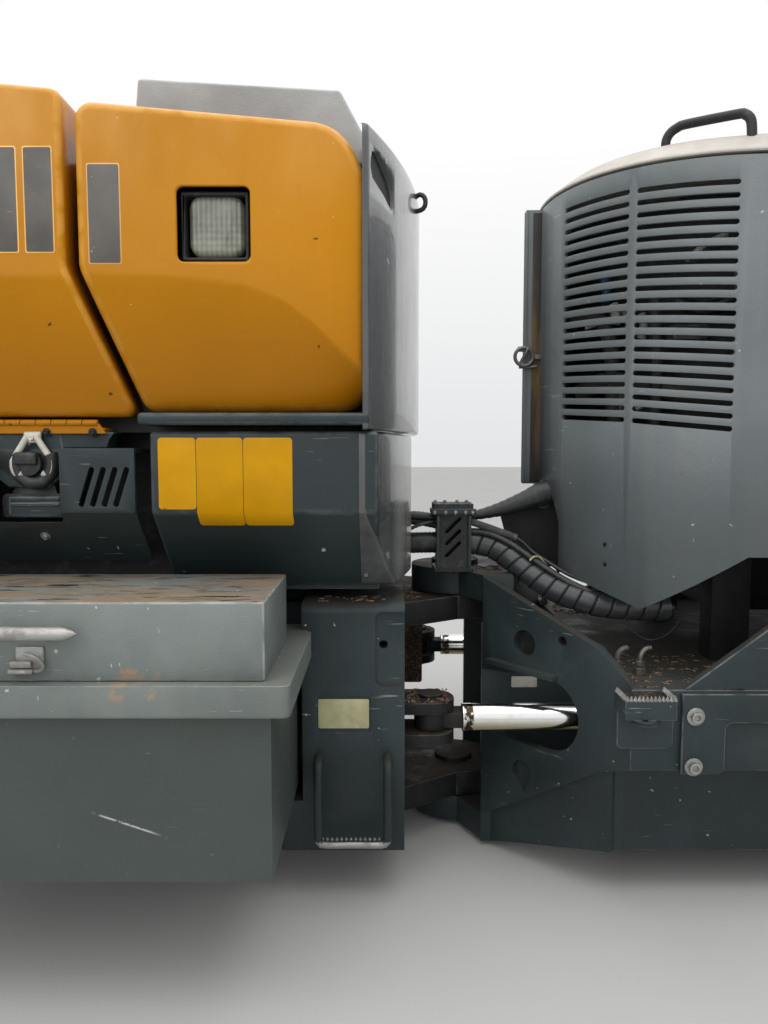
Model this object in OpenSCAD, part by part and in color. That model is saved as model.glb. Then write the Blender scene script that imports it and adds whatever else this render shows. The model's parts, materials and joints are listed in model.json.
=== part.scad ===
// Articulated centre section of a forestry harvester: the steering waist
// with the ends of the two frames, their covers, toolboxes and engine hood.
// Millimetres. X runs along the machine from the cab end to the engine end,
// Y across it and Z up. The origin is the middle of the lower plate where the
// cab frame is cut square, and most sizes are measured from the steering axis.

/* [Frames] */
// Distance from the cut end of the cab frame to the steering axis
cab_end = 1350; // [1200:10:1500]
// Distance from the steering axis to the cut end of the engine frame
engine_end = 1350; // [1300:10:1500]
// Thickness of the frame plates
plate = 20; // [16:1:24]
// Half width of the cab frame beam
beam_half = 240; // [220:5:250]
// Height of the cab frame beam
beam_h = 460; // [430:5:470]

/* [Hinge block] */
// Half width of the hinge block
block_half = 400; // [380:5:410]
// Height of the hinge block
block_h = 489; // [480:1:495]
// Left face of the hinge block, before the steering axis
block_left = 329; // [310:1:340]
// Right face of the hinge block, before the steering axis
block_right = 131; // [125:1:135]
// Radius of the block's upper edges
block_round = 22; // [10:1:30]

/* [Steering hinge] */
// Radius of the two hinge pins
pin_r = 45; // [40:1:50]
// Radius of the ears around the pins
ear_r = 104; // [98:1:106]
// Thickness of the cab frame's ears
inner_ear = 56; // [50:1:60]
// Underside of the engine frame's upper ear
fork_top = 452; // [448:1:456]
// Upper face of the engine frame's lower ear
fork_low = -28; // [-32:1:-24]
// Radius of the pins' heads
head_r = 56; // [50:1:58]
// Thickness of the engine frame's ears
outer_ear = 58; // [50:1:60]
// Running gap between the ears
ear_gap = 3; // [2:0.5:5]
// Radial clearance round pins
pin_gap = 0.3; // [0.2:0.05:0.5]

/* [Steering cylinders] */
// Height of the cylinders above the block's underside
cyl_z = 232; // [225:1:240]
// Radius of the piston rod
rod_r = 28; // [24:1:30]
// Radius of the barrel
barrel_r = 54; // [48:1:55]
// Rod pin, before the steering axis
eye_x = -75; // [-78:1:-72]
// Rod pin, out from the middle
eye_y = 300; // [295:1:305]
// Radius of the rod's eye
eye_r = 34; // [30:1:36]
// Barrel pivot, behind the steering axis
pivot_x = 790; // [780:5:800]
// Barrel pivot, out from the middle
pivot_y = 285; // [280:1:290]
// End of the barrel's gland, behind the steering axis
gland_x = 252; // [250:1:258]
// Radius of the pivot pins
small_pin = 25; // [20:1:28]

/* [Engine frame] */
// Front face of the nose, behind the steering axis
nose_x = 44; // [40:1:50]
// Half width of the nose
nose_half = 200; // [195:1:205]
// Where the frame is at its full width
wide_x = 290; // [285:1:300]
// Half width of the side belt
belt_half = 450; // [440:1:460]
// Lower edge of the side belt
belt_low = 181; // [175:1:185]
// Upper edge of the side belt
belt_top = 337; // [330:1:340]
// Half width of the lower box
low_half = 400; // [390:1:410]
// Upper end of the gusset at the nose
gusset_top = 508; // [500:1:510]

/* [Toolboxes] */
// Front face of the box
tool_front = 730; // [700:5:740]
// Back face of the box
tool_back = 346; // [340:2:350]
// Right end of the box, before the steering axis
tool_right = 354; // [352:1:364]
// Length of the box
tool_len = 880; // [800:10:900]
// Lowest edge of the box
tool_low = 127; // [110:1:140]
// Underside of the rim
rim_low = 390; // [385:1:395]
// Height of the rim
rim_h = 48; // [40:1:50]
// Width of the rim outside the box
rim_out = 22; // [16:1:24]
// Width of the rim at its right end
rim_right = 31; // [26:1:32]
// Gap between the rim's right end and the hinge block
rim_notch = 5; // [4:1:8]
// Wall of the box
tool_wall = 8; // [6:1:10]
// Height of the lid
lid_h = 117; // [100:1:120]
// Back face of the lid
lid_back = 470; // [465:1:475]

/* [Side housings] */
// Depth of the lower housing, out from the tank
house_depth = 100; // [92:1:105]
// Inward lean of the lower housing at its bottom edge
house_lean = 150; // [140:1:160]
// Bottom of the lower housing
house_low = 522; // [516:1:526]
// Fold line of the lower housing
house_fold = 674; // [660:1:690]
// Top of the lower housing
house_top = 814; // [810:1:818]
// Right end of the housings, before the steering axis
house_right = 200; // [195:1:205]
// Left end of the lower housing, before the steering axis
house_left = 573; // [560:1:580]
// Half width of the tank body behind the covers
tank_half = 430; // [420:1:440]
// Top of the tank body
tank_top = 1290; // [1280:1:1300]
// Left end of the covers, before the steering axis
covers_left = 1300; // [1200:10:1320]
// Radius of the rear corner housing in plan
rear_sweep = 1430; // [1400:10:1500]

/* [Yellow covers] */
// Depth of the yellow covers, out from the tank
cover_depth = 120; // [115:1:124]
// Wall of the covers
cover_wall = 12; // [8:1:14]
// Bottom edge of the main cover
cover_low = 848; // [846:1:852]
// Top of the main cover at its left edge
cover_top = 1352; // [1345:1:1358]
// Drop of the top edge towards the joint
cover_drop = 38; // [30:1:44]
// Left edge of the main cover, before the steering axis
cover_left = 680; // [676:1:684]
// Gap between the two covers
cover_gap = 22; // [18:1:26]
// Side of the lamp recess
lamp_size = 122; // [110:1:130]
// Middle of the lamp recess, before the steering axis
lamp_x = 452; // [440:1:470]
// Height of the lamp recess
lamp_z = 1153; // [1140:1:1160]

/* [Hood] */
// Bulge of the hood's nose beyond its flat sides
hood_bulge = 30; // [26:1:34]
// Middle of the hood's nose, behind the steering axis
hood_x = 677; // [670:1:685]
// Top of the doors
hood_top = 1315; // [1300:5:1330]
// Tilt of the hood's top, up towards the nose
hood_tilt = 6.6; // [5:0.2:8]
// Fold line of the hood's sides, behind the steering axis
crease_x = 505; // [500:1:509]
// Height of the roof's sloping rim
roof_rise = 41; // [36:1:46]
// Width of the roof's sloping rim
roof_in = 50; // [44:1:56]
// Rows of louvres in each door
louvre_rows = 20; // [18:1:20]
// Distance from one louvre to the next
louvre_pitch = 23.2; // [22:0.1:23.4]
// Height of a louvre
louvre_h = 10; // [8:0.5:11]
// Wall of the hood
hood_wall = 8; // [6:1:10]
// Hinge line of the doors, behind the steering axis
door_hinge = 1290; // [1250:5:1310]
// Gap round the doors
door_gap = 6; // [5:1:8]
// Radius of the roof handles
handle_r = 9; // [8:0.5:12]

/* [Hidden] */
$fn = 48;
dark = "#3b4145";
grey = "#565b5e";
yellow = "#f0a30a";
black = "#17191a";
steel = "#9aa0a3";
tool_left = tool_right + tool_len;
rim_top = rim_low + rim_h;
seat_gap = 0.3;
lid_low = rim_top + seat_gap;
deck_z = house_low;
nose_low = fork_low - outer_ear;
steer_range = 40;
stroke = eye_y * PI * steer_range / 180;
rod_in = pivot_x - gland_x - stroke - 34;
barrel_end = 65;
house_half = tank_half + house_depth;
cover_half = tank_half + cover_depth;
cover_low_y = cover_half - 62;
hood_half = belt_half;
hood_r = hood_half + hood_bulge;

// Puts what is measured from the steering axis into the part's own frame
module at_hinge() translate([cab_end, 0, -plate / 2]) children();

module both_sides() {
    children();
    mirror([0, 1, 0]) children();
}

// An outline drawn in X and Z, from y0 to y1
module slab_y(y0, y1) translate([0, y1, 0]) rotate([90, 0, 0]) linear_extrude(y1 - y0) children();

// An outline drawn in Y and Z, from x0 to x1
module slab_x(x0, x1)
    translate([x0, 0, 0]) rotate([90, 0, 90]) linear_extrude(x1 - x0) children();

module block_xyz(x0, x1, y0, y1, z0, z1) translate([x0, y0, z0]) cube([x1 - x0, y1 - y0, z1 - z0]);

// A square with round corners, made of straight and round pieces
module rounded(w, h, r) {
    translate([r, 0]) square([w - 2 * r, h]);
    translate([0, r]) square([w, h - 2 * r]);
    for (x = [r, w - r], y = [r, h - r]) translate([x, y]) circle(r);
}

// Box beam of the cab frame, cut square at its left end
module cab_frame() color(dark) at_hinge() difference() {
    block_xyz(-cab_end, -block_left, -beam_half, beam_half, 0, beam_h);
    block_xyz(-cab_end - 1, -block_left - plate, -beam_half + plate, beam_half - plate,
        plate, beam_h - plate);
}

pocket_left = 188;
pocket_low = 327;
pocket_top = 473;
relief = 30;
flare = 37;
flare_end = 560;
flare_h = 100;
module hinge_block() color(dark) at_hinge() {
    block_core();
    // Flange that flares from the beam to the block
    both_sides() linear_extrude(flare_h) polygon([[-block_left, -block_half],
        [-block_left - flare, -block_half], [-flare_end, -beam_half], [-block_left, -beam_half]]);
}

module block_core() difference() {
    slab_x(-block_left, -block_right) {
        translate([-block_half, 0]) square([2 * block_half, block_h - block_round]);
        translate([-block_half + block_round, 0])
            square([2 * (block_half - block_round), block_h]);
        for (y = [-1, 1]) translate([y * (block_half - block_round), block_h - block_round])
            circle(block_round);
    }
    both_sides() {
        translate([0, -block_half - 1, 0]) slab_y(0, 13) translate([-pocket_left, pocket_low])
            rounded(pocket_left, pocket_top - pocket_low, 14);
        translate([-172, -block_half, 407]) rotate([-90, 0, 0]) cylinder(h = 60, r = 8.5);
        translate([0, -block_half - 1, 0]) slab_y(0, 4) translate([-302, 238])
            rounded(106, 70, 8);
        // Room for the rod's eye at full lock
        block_xyz(-block_right - relief, 0, -370, -230, cyl_z - 24, cyl_z + 24);
    }
}

// One ear round the steering axis, reaching back to x
module ear(x, z, h, half) difference() {
    translate([0, 0, z]) linear_extrude(h) union() {
        circle(ear_r, $fn = 96);
        polygon([[0, -ear_r], [x, -half], [x, half], [0, ear_r]]);
    }
    translate([0, 0, z - 1]) cylinder(h = h + 2, r = pin_r + pin_gap, $fn = 96);
}

module cab_ears() color(dark) at_hinge() {
    ear(-block_right, fork_top - ear_gap - inner_ear, inner_ear, 190);
    ear(-block_right, fork_low + ear_gap, inner_ear, 190);
}

eye_t = 18;
lug_t = 25;
lug_gap = 2;
lug_r = 48;
rod_neck = 65;
module rod_lugs() color(black) at_hinge() both_sides()
    for (z = [cyl_z - eye_t - lug_gap - lug_t, cyl_z + eye_t + lug_gap])
        translate([0, 0, z]) linear_extrude(lug_t) {
            translate([eye_x, -eye_y]) circle(lug_r);
            translate([-block_right, -eye_y - lug_r]) square([block_right + eye_x, 2 * lug_r]);
        }
// Pins of the rods, seen as heads on the lugs
module rod_pins() color(steel) at_hinge() both_sides()
    for (z = [cyl_z - eye_t - lug_gap - lug_t - 8, cyl_z + eye_t + lug_gap + lug_t])
        translate([eye_x, -eye_y, z]) cylinder(h = 8, r = small_pin);

step_bar = 9;
module block_steps() color(steel) at_hinge() both_sides() {
    for (x = [-296, -164]) {
        translate([x, -block_half - 40, 34]) cylinder(h = 155, r = step_bar);
        translate([x, -block_half, 189]) rotate([90, 0, 0]) cylinder(h = 49, r = step_bar);
    }
    translate([-305, -block_half - 40, 34]) rotate([0, 90, 0]) cylinder(h = 150, r = step_bar);
}

// Subframe that carries the tank and the housings on the beam
module deck_frame() color(black) at_hinge() {
    block_xyz(-covers_left, -house_right + 20, -360, 360, deck_z - 12, deck_z);
    both_sides() block_xyz(-covers_left, -block_left, -210, -190, beam_h, deck_z - 12);
    both_sides() for (x = [-1200, -800, -400])
        block_xyz(x, x + 12, -tool_back, -beam_half, 330, rim_top);
}

module toolbox_outline() polygon([[-tool_front, tool_low], [-tool_front, rim_low],
    [-tool_back, rim_low], [-tool_back, tool_low]]);

// Hinge bar of the lid, on the rim behind the lid
lid_axis_y = lid_back - 6;
lid_axis_z = rim_top + 6;
lid_bar_r = 5;
module lid_bar() {
    for (x = [-tool_left + 60, -tool_right - 260]) {
        translate([x, -lid_axis_y, lid_axis_z]) rotate([0, 90, 0]) cylinder(h = 200, r = lid_bar_r);
        block_xyz(x, x + 200, -lid_axis_y - 2, -lid_axis_y + 2, rim_top - 4, lid_axis_z);
    }
}

module toolbox() color(dark) at_hinge() {
    toolbox_shell();
    lid_bar();
}

module toolbox_shell() difference() {
    union() {
        slab_x(-tool_left, -tool_right) toolbox_outline();
        translate([-tool_left - rim_out, -tool_front - rim_out, rim_low])
            linear_extrude(rim_h) rounded(tool_len + rim_out + rim_right,
                tool_front + rim_out - block_half - rim_notch, 14);
        block_xyz(-tool_left - rim_out, -block_left - 3, -block_half - 40, -tool_back,
            rim_low, rim_top);
    }
    slab_x(-tool_left + tool_wall, -tool_right - tool_wall) offset(delta = -tool_wall)
        toolbox_outline();
    block_xyz(-tool_left + 30, -tool_right - 30, -tool_front + 22, -lid_back - 14,
        rim_low - 20, rim_top + 1);
}

module toolbox_left() toolbox();
module toolbox_right() mirror([0, 1, 0]) toolbox();

module lid() color(dark) at_hinge() difference() {
    block_xyz(-tool_left + 14, -tool_right - 14, -tool_front, -lid_back, lid_low, lid_low + lid_h);
    block_xyz(-tool_left + 22, -tool_right - 22, -tool_front + 8, -lid_back - 8,
        lid_low - 1, lid_low + lid_h - 6);
}

module toolbox_lid_left() lid();
module toolbox_lid_right() mirror([0, 1, 0]) lid();

module lid_handle() color(steel) at_hinge() {
    block_xyz(-940, -660, -tool_front - 30, -tool_front - 18, lid_low + 38, lid_low + 62);
    for (x = [-900, -700])
        block_xyz(x - 14, x + 14, -tool_front - 18, -tool_front, lid_low + 42, lid_low + 58);
}

module lid_handle_left() lid_handle();
module lid_handle_right() mirror([0, 1, 0]) lid_handle();

// Tank and frame behind the covers
module tank_body() color(black) at_hinge() {
    block_xyz(-covers_left, -house_right, -tank_half, tank_half, house_top, tank_top);
    block_xyz(-covers_left, -house_left, -tank_half + 60, tank_half - 60, deck_z, house_top);
}

module lower_housing() color(dark) at_hinge() slab_x(-house_left, -house_right + 20) polygon([
    [-house_half, house_top], [-house_half, house_fold], [house_lean - house_half, house_low],
    [house_half - house_lean, house_low], [house_half, house_fold], [house_half, house_top]]);

vent_r = 5;
module lower_panels() color(dark) at_hinge() both_sides() difference() {
    slab_x(-covers_left, -house_left - 26) polygon([
        [-house_half, 785], [-house_half, house_fold], [-house_half + 94, 578],
        [-house_half + 104, 578], [-house_half + 8, house_fold], [-house_half + 8, 777],
        [-tank_half + 60, 777], [-tank_half + 60, 785]]);
    // Cut-out round the cab mount
    translate([0, -house_half - 1, 0]) slab_y(0, 200) translate([-866, 656])
        rounded(138, 200, 10);
    // Slanted vents
    for (i = [0:3]) translate([-692 + 20 * i, -house_half - 1, 689]) rotate([0, 18, 0]) {
        block_xyz(-vent_r, vent_r, 0, 20, 0, 62);
        for (z = [0, 62]) translate([0, 20, z]) rotate([90, 0, 0]) cylinder(h = 20, r = vent_r);
    }
}

// Corner housing between the covers and the joint
hand_hole = 48;
module rear_housing() color(dark) at_hinge() difference() {
    translate([0, 0, house_top]) linear_extrude(tank_top + 28 - house_top) intersection() {
        translate([-90 - rear_sweep, 0]) circle(rear_sweep, $fn = 180);
        translate([-house_right, -cover_half + 4]) square([200, 2 * (cover_half - 4)]);
    }
    // Hand holes in the rounded face
    for (y = [-440, 440]) translate([-house_right + 12, y, 1258]) rotate([0, 90, 0])
        cylinder(h = 100, r = hand_hole);
}

module deck_cover() color(grey) at_hinge() slab_y(1 - tank_half, tank_half - 1)
    polygon([[-624, tank_top], [-596, 1426], [-237, 1406], [-200, 1330], [-200, tank_top]]);

// Outlines of the covers in X and Z
function main_outline(d) = [
    [-cover_left + d, cover_top - d], [-250, cover_top - cover_drop - d],
    [-212 - d, cover_top - cover_drop - 40], [-house_right - d, cover_top - cover_drop - 90],
    [-house_right - d, cover_low + 40], [-232 - d / 2, cover_low + d],
    [-588 + d, cover_low + d], [-cover_left + d, 1088]];
function cover_front(d) = [
    [-cover_left + d, cover_top - d], [-250, cover_top - cover_drop - d],
    [-212 - d, cover_top - cover_drop - 40], [-house_right - d, cover_top - cover_drop - 90],
    [-house_right - d, cover_low + 60], [-223 - d, 915], [-268, 963], [-329, 1015],
    [-401, 1043], [-cover_left + d, 1063]];

module main_solid(d) hull() {
    slab_y(-cover_half + d, -cover_half + d + 10) polygon(cover_front(d));
    slab_y(-cover_low_y + d, -tank_half) polygon(main_outline(d));
}

module main_cover() color(yellow) at_hinge() difference() {
    main_solid(0);
    translate([0, 0.1, 0]) main_solid(cover_wall);
    translate([0, -cover_half - 1, 0]) slab_y(0, 80)
        translate([-lamp_x - lamp_size / 2, lamp_z - lamp_size / 2])
            rounded(lamp_size, lamp_size, 12);
}

module main_cover_left() main_cover();
module main_cover_right() mirror([0, 1, 0]) main_cover();

cab_right = cover_left + cover_gap;
function cab_outline(d) = [
    [-covers_left + d, cover_top + 56 - d], [-cab_right - d, cover_top + 6 - d],
    [-cab_right - d, 1088], [-606 - d, cover_low + d - 8], [-covers_left + d, cover_low + d - 8]];
function cab_front(d) = [
    [-covers_left + d, cover_top + 56 - d], [-cab_right - d, cover_top + 6 - d],
    [-cab_right - d, 1066], [-covers_left + d, 1066]];

module cab_solid(d) difference() {
    hull() {
        slab_y(-cover_half + d, -cover_half + d + 10) polygon(cab_front(d));
        slab_y(-cover_low_y + d, -tank_half - 5) polygon(cab_outline(d));
    }
    // The edge that runs beside the main cover
    slab_y(-cover_half - 1, -tank_half) polygon([[-cab_right - d, cover_top + 99],
        [-cab_right - d, 1088], [-606 - d, cover_low - 8], [-606 - d, cover_low - 99],
        [0, cover_low - 99], [0, cover_top + 99]]);
}

hinge_z = 829;
hinge_r = 6;
module cab_cover() color(yellow) at_hinge() {
    difference() {
        cab_solid(0);
        translate([0, 0.1, 0]) cab_solid(cover_wall);
    }
    // Leaf of the long hinge
    block_xyz(-covers_left, -640, -cover_low_y, -cover_low_y + 6, hinge_z + hinge_r + seat_gap,
        cover_low);
}

module cab_cover_left() cab_cover();
module cab_cover_right() mirror([0, 1, 0]) cab_cover();

module cover_hinges() color(yellow) at_hinge() both_sides() {
    translate([-covers_left, -cover_low_y, hinge_z]) rotate([0, 90, 0])
        cylinder(h = covers_left - 640, r = hinge_r);
    block_xyz(-covers_left, -640, -cover_low_y - 3, -cover_low_y + 3, hinge_z - 29, hinge_z);
    block_xyz(-covers_left, -640, -cover_low_y, -tank_half, hinge_z - 14, hinge_z - 8);
}

module lamp_boxes() color(black) at_hinge() both_sides() difference() {
    block_xyz(-lamp_x - 57, -lamp_x + 57, -cover_half + cover_wall + 2, -tank_half,
        lamp_z - 57, lamp_z + 57);
    block_xyz(-lamp_x - 50, -lamp_x + 50, -cover_half, -tank_half - 25, lamp_z - 50, lamp_z + 50);
}

module lamp_lenses() color("#cfd3c4") at_hinge() both_sides()
    slab_y(-cover_half + 22, -tank_half - 25) translate([-lamp_x - 46, lamp_z - 49])
        rounded(94, 98, 24);

mount_y = tank_half + 50;
module cab_mounts() color(dark) at_hinge() both_sides() {
    // Foot, rubber and the plate of the bracket
    slab_y(-mount_y, -tank_half + 60) translate([-852, 662]) rounded(110, 42, 8);
    slab_y(-mount_y + 6, -tank_half + 60) polygon([[-838, 703], [-756, 703], [-764, 731],
        [-822, 731]]);
    slab_y(-mount_y - 8, -tank_half + 60) polygon([[-822, 730], [-764, 730], [-736, 748],
        [-736, 784], [-856, 784], [-856, 755]]);
    translate([-793, -mount_y - 8, 758]) rotate([90, 0, 0]) cylinder(h = 14, r = 21);
}

// Engine frame: box section of the wide part and the centre beam
module wide_outline(d) polygon([
    [-low_half + d, d], [-low_half + d, belt_low + d], [-belt_half + d, belt_low + d],
    [-belt_half + d, belt_top - d], [belt_half - d, belt_top - d], [belt_half - d, belt_low + d],
    [low_half - d, belt_low + d], [low_half - d, d]]);

module engine_frame() color(dark) at_hinge() {
    difference() {
        slab_x(wide_x, engine_end) wide_outline(0);
        slab_x(wide_x - 1, engine_end + 1) wide_outline(plate);
    }
}

// Nose column and centre beam, from the ears back into the wide frame
nose_back = 110;
module nose() color(dark) at_hinge() {
    difference() {
        block_xyz(nose_x, nose_back, -nose_half, nose_half, nose_low, fork_top + outer_ear);
        translate([0, 0, nose_low - 1]) cylinder(h = 700, r = pin_r + pin_gap, $fn = 96);
        // Slots in the cheeks, level with the cab frame's upper ear
        slab_y(-nose_half - 1, nose_half + 1) {
            translate([nose_x - 1, 404]) square([8, 66]);
            translate([nose_x + 5, 416]) circle(12);
            translate([nose_x + 5, 458]) circle(12);
            translate([nose_x + 5, 416]) square([12, 42]);
        }
        // Room between the cheeks for the cab frame's ears
        block_xyz(nose_x - 1, nose_back + 1, -nose_half + plate, nose_half - plate,
            fork_low, fork_top);
    }
    difference() {
        block_xyz(nose_back, engine_end, -nose_half, nose_half, plate, belt_top - plate);
        block_xyz(150, engine_end + 1, -nose_half + plate, nose_half - plate, 2 * plate,
            belt_top - 2 * plate);
    }
    ear(nose_x, fork_top, outer_ear, 190);
    ear(nose_x, nose_low, outer_ear, 190);
}

gusset_angle = atan2(belt_half - nose_half, wide_x - nose_x);
gusset_len = norm([belt_half - nose_half, wide_x - nose_x]);
// A plate on the flared line from the nose to the belt, from out of its face to t behind it
module flared(x, y, t, out = 0) translate([x, y, 0]) rotate([0, 0, -gusset_angle])
    slab_y(-out, t) children();

ledge_t = 20;
module gussets() color(dark) at_hinge() both_sides() difference() {
    union() {
        flared(nose_x, -nose_half, plate) difference() {
            polygon([[0, -25], [0, gusset_top], [gusset_len - 69, 401], [gusset_len, belt_top + 5],
                [gusset_len + 40, belt_top], [gusset_len + 40, belt_low],
                [gusset_len, belt_low], [gusset_len - 61, 161]]);
            // Window that the rod runs through
            translate([163, cyl_z + 11]) circle(77);
            polygon([[-60, cyl_z - 56], [-60, cyl_z + 68], [157, cyl_z + 87.7],
                [157, cyl_z - 65.7]]);
            translate([109, 382]) circle(27);
            translate([200, 402]) circle(10);
            // Teardrop
            translate([107, 106]) circle(24);
            polygon([[83.5, 101], [112, 60], [130.5, 101]]);
        }
        // Ledge over the window
        flared(nose_x, -nose_half, 1, ledge_t) polygon([[24, 326], [24, 336], [192, 331],
            [192, 321]]);
        flared(nose_x + 16, -nose_half + 6, plate) polygon([[0, nose_low], [0, 130],
            [300, 178], [300, 0]]);
    }
    block_xyz(nose_x, nose_back, -nose_half, nose_half, nose_low - 1, 600);
    block_xyz(wide_x, 500, -belt_half - 200, belt_half, nose_low - 1, 600);
}

pin_head = 12;
pin_end = 10;
pin_len = outer_ear + ear_gap + inner_ear + pin_end;
module hinge_pins() color(steel) at_hinge() {
    translate([0, 0, fork_top + outer_ear - pin_len]) cylinder(h = pin_len, r = pin_r);
    translate([0, 0, fork_top + outer_ear]) cylinder(h = pin_head, r = head_r);
    translate([0, 0, nose_low]) cylinder(h = pin_len, r = pin_r);
    translate([0, 0, nose_low - pin_head]) cylinder(h = pin_head, r = head_r);
}

module cylinder_pins() color(steel) at_hinge() both_sides()
    translate([pivot_x, -pivot_y, plate]) cylinder(h = belt_top - 2 * plate, r = small_pin);

module side_steps() color(grey) at_hinge() both_sides() {
    block_xyz(262, 374, -belt_half - 46, -belt_half - 6, 304, 311);
    block_xyz(262, 374, -belt_half - 46, -belt_half - 40, 311, 340);
    for (x = [262, 368]) block_xyz(x, x + 6, -belt_half - 40, -belt_half - 6, 311, 340);
    difference() {
        translate([306, -belt_half - 33, 286]) cylinder(h = 18, r = 26);
        translate([306, -belt_half - 39, 285]) cylinder(h = 20, r = 9);
    }
}

side_t = 10;
side_r = 14;
module side_plates() color(dark) at_hinge() both_sides() {
    // Bolted plate with a long arm to the rear
    slab_y(-belt_half - side_t, -belt_half) difference() {
        union() {
            translate([382, 178]) square([82 - side_r, 154]);
            translate([382, 178 + side_r]) square([82, 154 - side_r]);
            translate([464 - side_r, 178 + side_r]) circle(side_r);
            translate([400, 276]) square([engine_end - 400, 56]);
            translate([464, 276 - side_r]) square(side_r);
        }
        translate([464 + side_r, 276 - side_r]) circle(side_r);
    }
    // Backing plate of the step
    slab_y(-belt_half - 6, -belt_half) translate([262, 226]) rounded(106, 108, 12);
}

module rail_flanges() color(dark) at_hinge() both_sides()
    slab_y(-belt_half, -belt_half + plate) polygon([[389, belt_top], [563, 468],
        [door_hinge + 12, 468], [door_hinge + 12, belt_top]]);

tower_top = 638;
module hose_tower() color(dark) at_hinge() {
    block_xyz(-58, 28, -146, -62, fork_top + outer_ear, 518);
    difference() {
        block_xyz(-52, 22, -140, -68, 518, tower_top);
        for (z = [546, 573, 600]) translate([-31, -141, z]) rotate([0, 45, 0]) {
            block_xyz(-4, 4, 0, 30, 0, 40);
            for (t = [0, 40]) translate([0, 30, t]) rotate([90, 0, 0]) cylinder(h = 30, r = 4);
        }
    }
    block_xyz(-64, 32, -148, -60, tower_top, tower_top + 10);
    block_xyz(-60, 28, -144, -64, tower_top + 10, tower_top + 24);
}

module hose_fittings() color("#8b7c62") at_hinge() for (x = [300, 345])
    translate([x, -350, belt_top]) cylinder(h = 40, r = 12);

rod_turn = atan2(eye_y - pivot_y, pivot_x - eye_x);
rod_len = norm([pivot_x - eye_x, eye_y - pivot_y]);
// A cylinder's own frame: from its pivot along the rod
module from_pivot() translate([pivot_x, -pivot_y, cyl_z]) rotate([0, 0, rod_turn])
    rotate([0, -90, 0]) children();

module barrel() color(black) at_hinge() difference() {
    union() {
        from_pivot() translate([0, 0, 50]) cylinder(h = pivot_x - gland_x - 50, r = barrel_r);
        translate([pivot_x, -pivot_y, cyl_z - 35]) cylinder(h = 70, r = 45);
        from_pivot() translate([-30, -30, 10]) cube([60, 60, 50]);
    }
    from_pivot() translate([0, 0, barrel_end]) cylinder(h = pivot_x, r = rod_r + pin_gap);
    translate([pivot_x, -pivot_y, cyl_z - 40]) cylinder(h = 80, r = small_pin + pin_gap);
}

module barrel_left() barrel();
module barrel_right() mirror([0, 1, 0]) barrel();

module rod() color("silver") at_hinge() {
    translate([eye_x, -eye_y, cyl_z - eye_t]) cylinder(h = 2 * eye_t, r = eye_r);
    from_pivot() translate([2 - eye_t, -22, rod_len - rod_neck - 10])
        cube([2 * eye_t - 4, 44, rod_neck - 10]);
    from_pivot() translate([0, 0, rod_in]) cylinder(h = rod_len - rod_in - rod_neck, r = rod_r);
}

module rod_left() rod();
module rod_right() mirror([0, 1, 0]) rod();

module engine_block() color(black) at_hinge() {
    // Sump, crankcase, cylinder head, cover and the drum of the flywheel
    slab_x(560, 1140) polygon([[-170, 430], [-250, 560], [250, 560], [170, 430]]);
    block_xyz(500, 1180, -250, 250, 559, 860);
    block_xyz(520, 1160, -190, 190, 859, 1010);
    slab_x(540, 1140) {
        translate([-150, 1009]) square([300, 60]);
        translate([-120, 1009]) square([240, 90]);
        for (y = [-120, 120]) translate([y, 1069]) circle(30);
    }
    translate([430, 0, 650]) rotate([0, 90, 0]) cylinder(h = 71, r = 190);
    // Charge pipe and exhaust manifold along the head
    translate([560, -205, 930]) rotate([0, 90, 0]) cylinder(h = 540, r = 34);
    translate([560, 205, 930]) rotate([0, 90, 0]) cylinder(h = 540, r = 34);
    both_sides() for (x = [520, 1100]) block_xyz(x, x + 80, -250, -190, belt_top, 560);
}

// Bulkhead and posts that carry the roof and the doors
roof_low = hood_top - door_gap;
module hood_frame() color(dark) at_hinge() {
    both_sides() for (x = [620, door_hinge + 12]) let (y = x < 700 ? hood_half - 110 : hood_half)
        block_xyz(x, x + 40, -y, -y + 40, belt_top, roof_low);
    block_xyz(door_hinge + 12, door_hinge + 52, -hood_half, hood_half, roof_low - 60, roof_low);
}

// Knuckles and leaves of the doors' hinges
module door_hinges() color(steel) at_hinge() both_sides() for (z = [640, 930, 1220]) {
    translate([door_hinge + 3, -hood_half - 4, z]) cylinder(h = 70, r = 9);
    block_xyz(door_hinge + 3, door_hinge + 40, -hood_half - 6, -hood_half, z, z + 70);
}

module hood_plan(d) {
    intersection() {
        translate([hood_x, 0]) circle(hood_r - d, $fn = 180);
        translate([0, -hood_half + d]) square([hood_x, 2 * (hood_half - d)]);
    }
    translate([hood_x - 1, -hood_half + d]) square([door_hinge - hood_x + 1, 2 * (hood_half - d)]);
}

// Roof with a sloping rim, tilted up over the nose and level behind the fold
crown = roof_low + roof_rise;
module hood_roof() color("#8f9391") at_hinge() {
    intersection() {
        translate([0, 0, roof_low]) linear_extrude(400) hood_plan(0);
        translate([crease_x, 0, roof_low]) rotate([0, hood_tilt, 0])
            translate([hood_x - crease_x, 0, 0]) cylinder(h = roof_rise, r1 = hood_r + 4,
                r2 = hood_r - roof_in, $fn = 180);
        block_xyz(0, crease_x, -hood_half, hood_half, roof_low, roof_low + 400);
    }
    slab_x(crease_x, door_hinge + 52) polygon([[-hood_half, roof_low], [roof_in - hood_half, crown],
        [hood_half - roof_in, crown], [hood_half, roof_low]]);
}

// Height at which the foot of a bar of radius r stands on the crown
function foot_z(x, r) = x + r > crease_x ? crown : roof_low + roof_rise / cos(hood_tilt)
    + (crease_x - x + r) * tan(hood_tilt);

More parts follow.
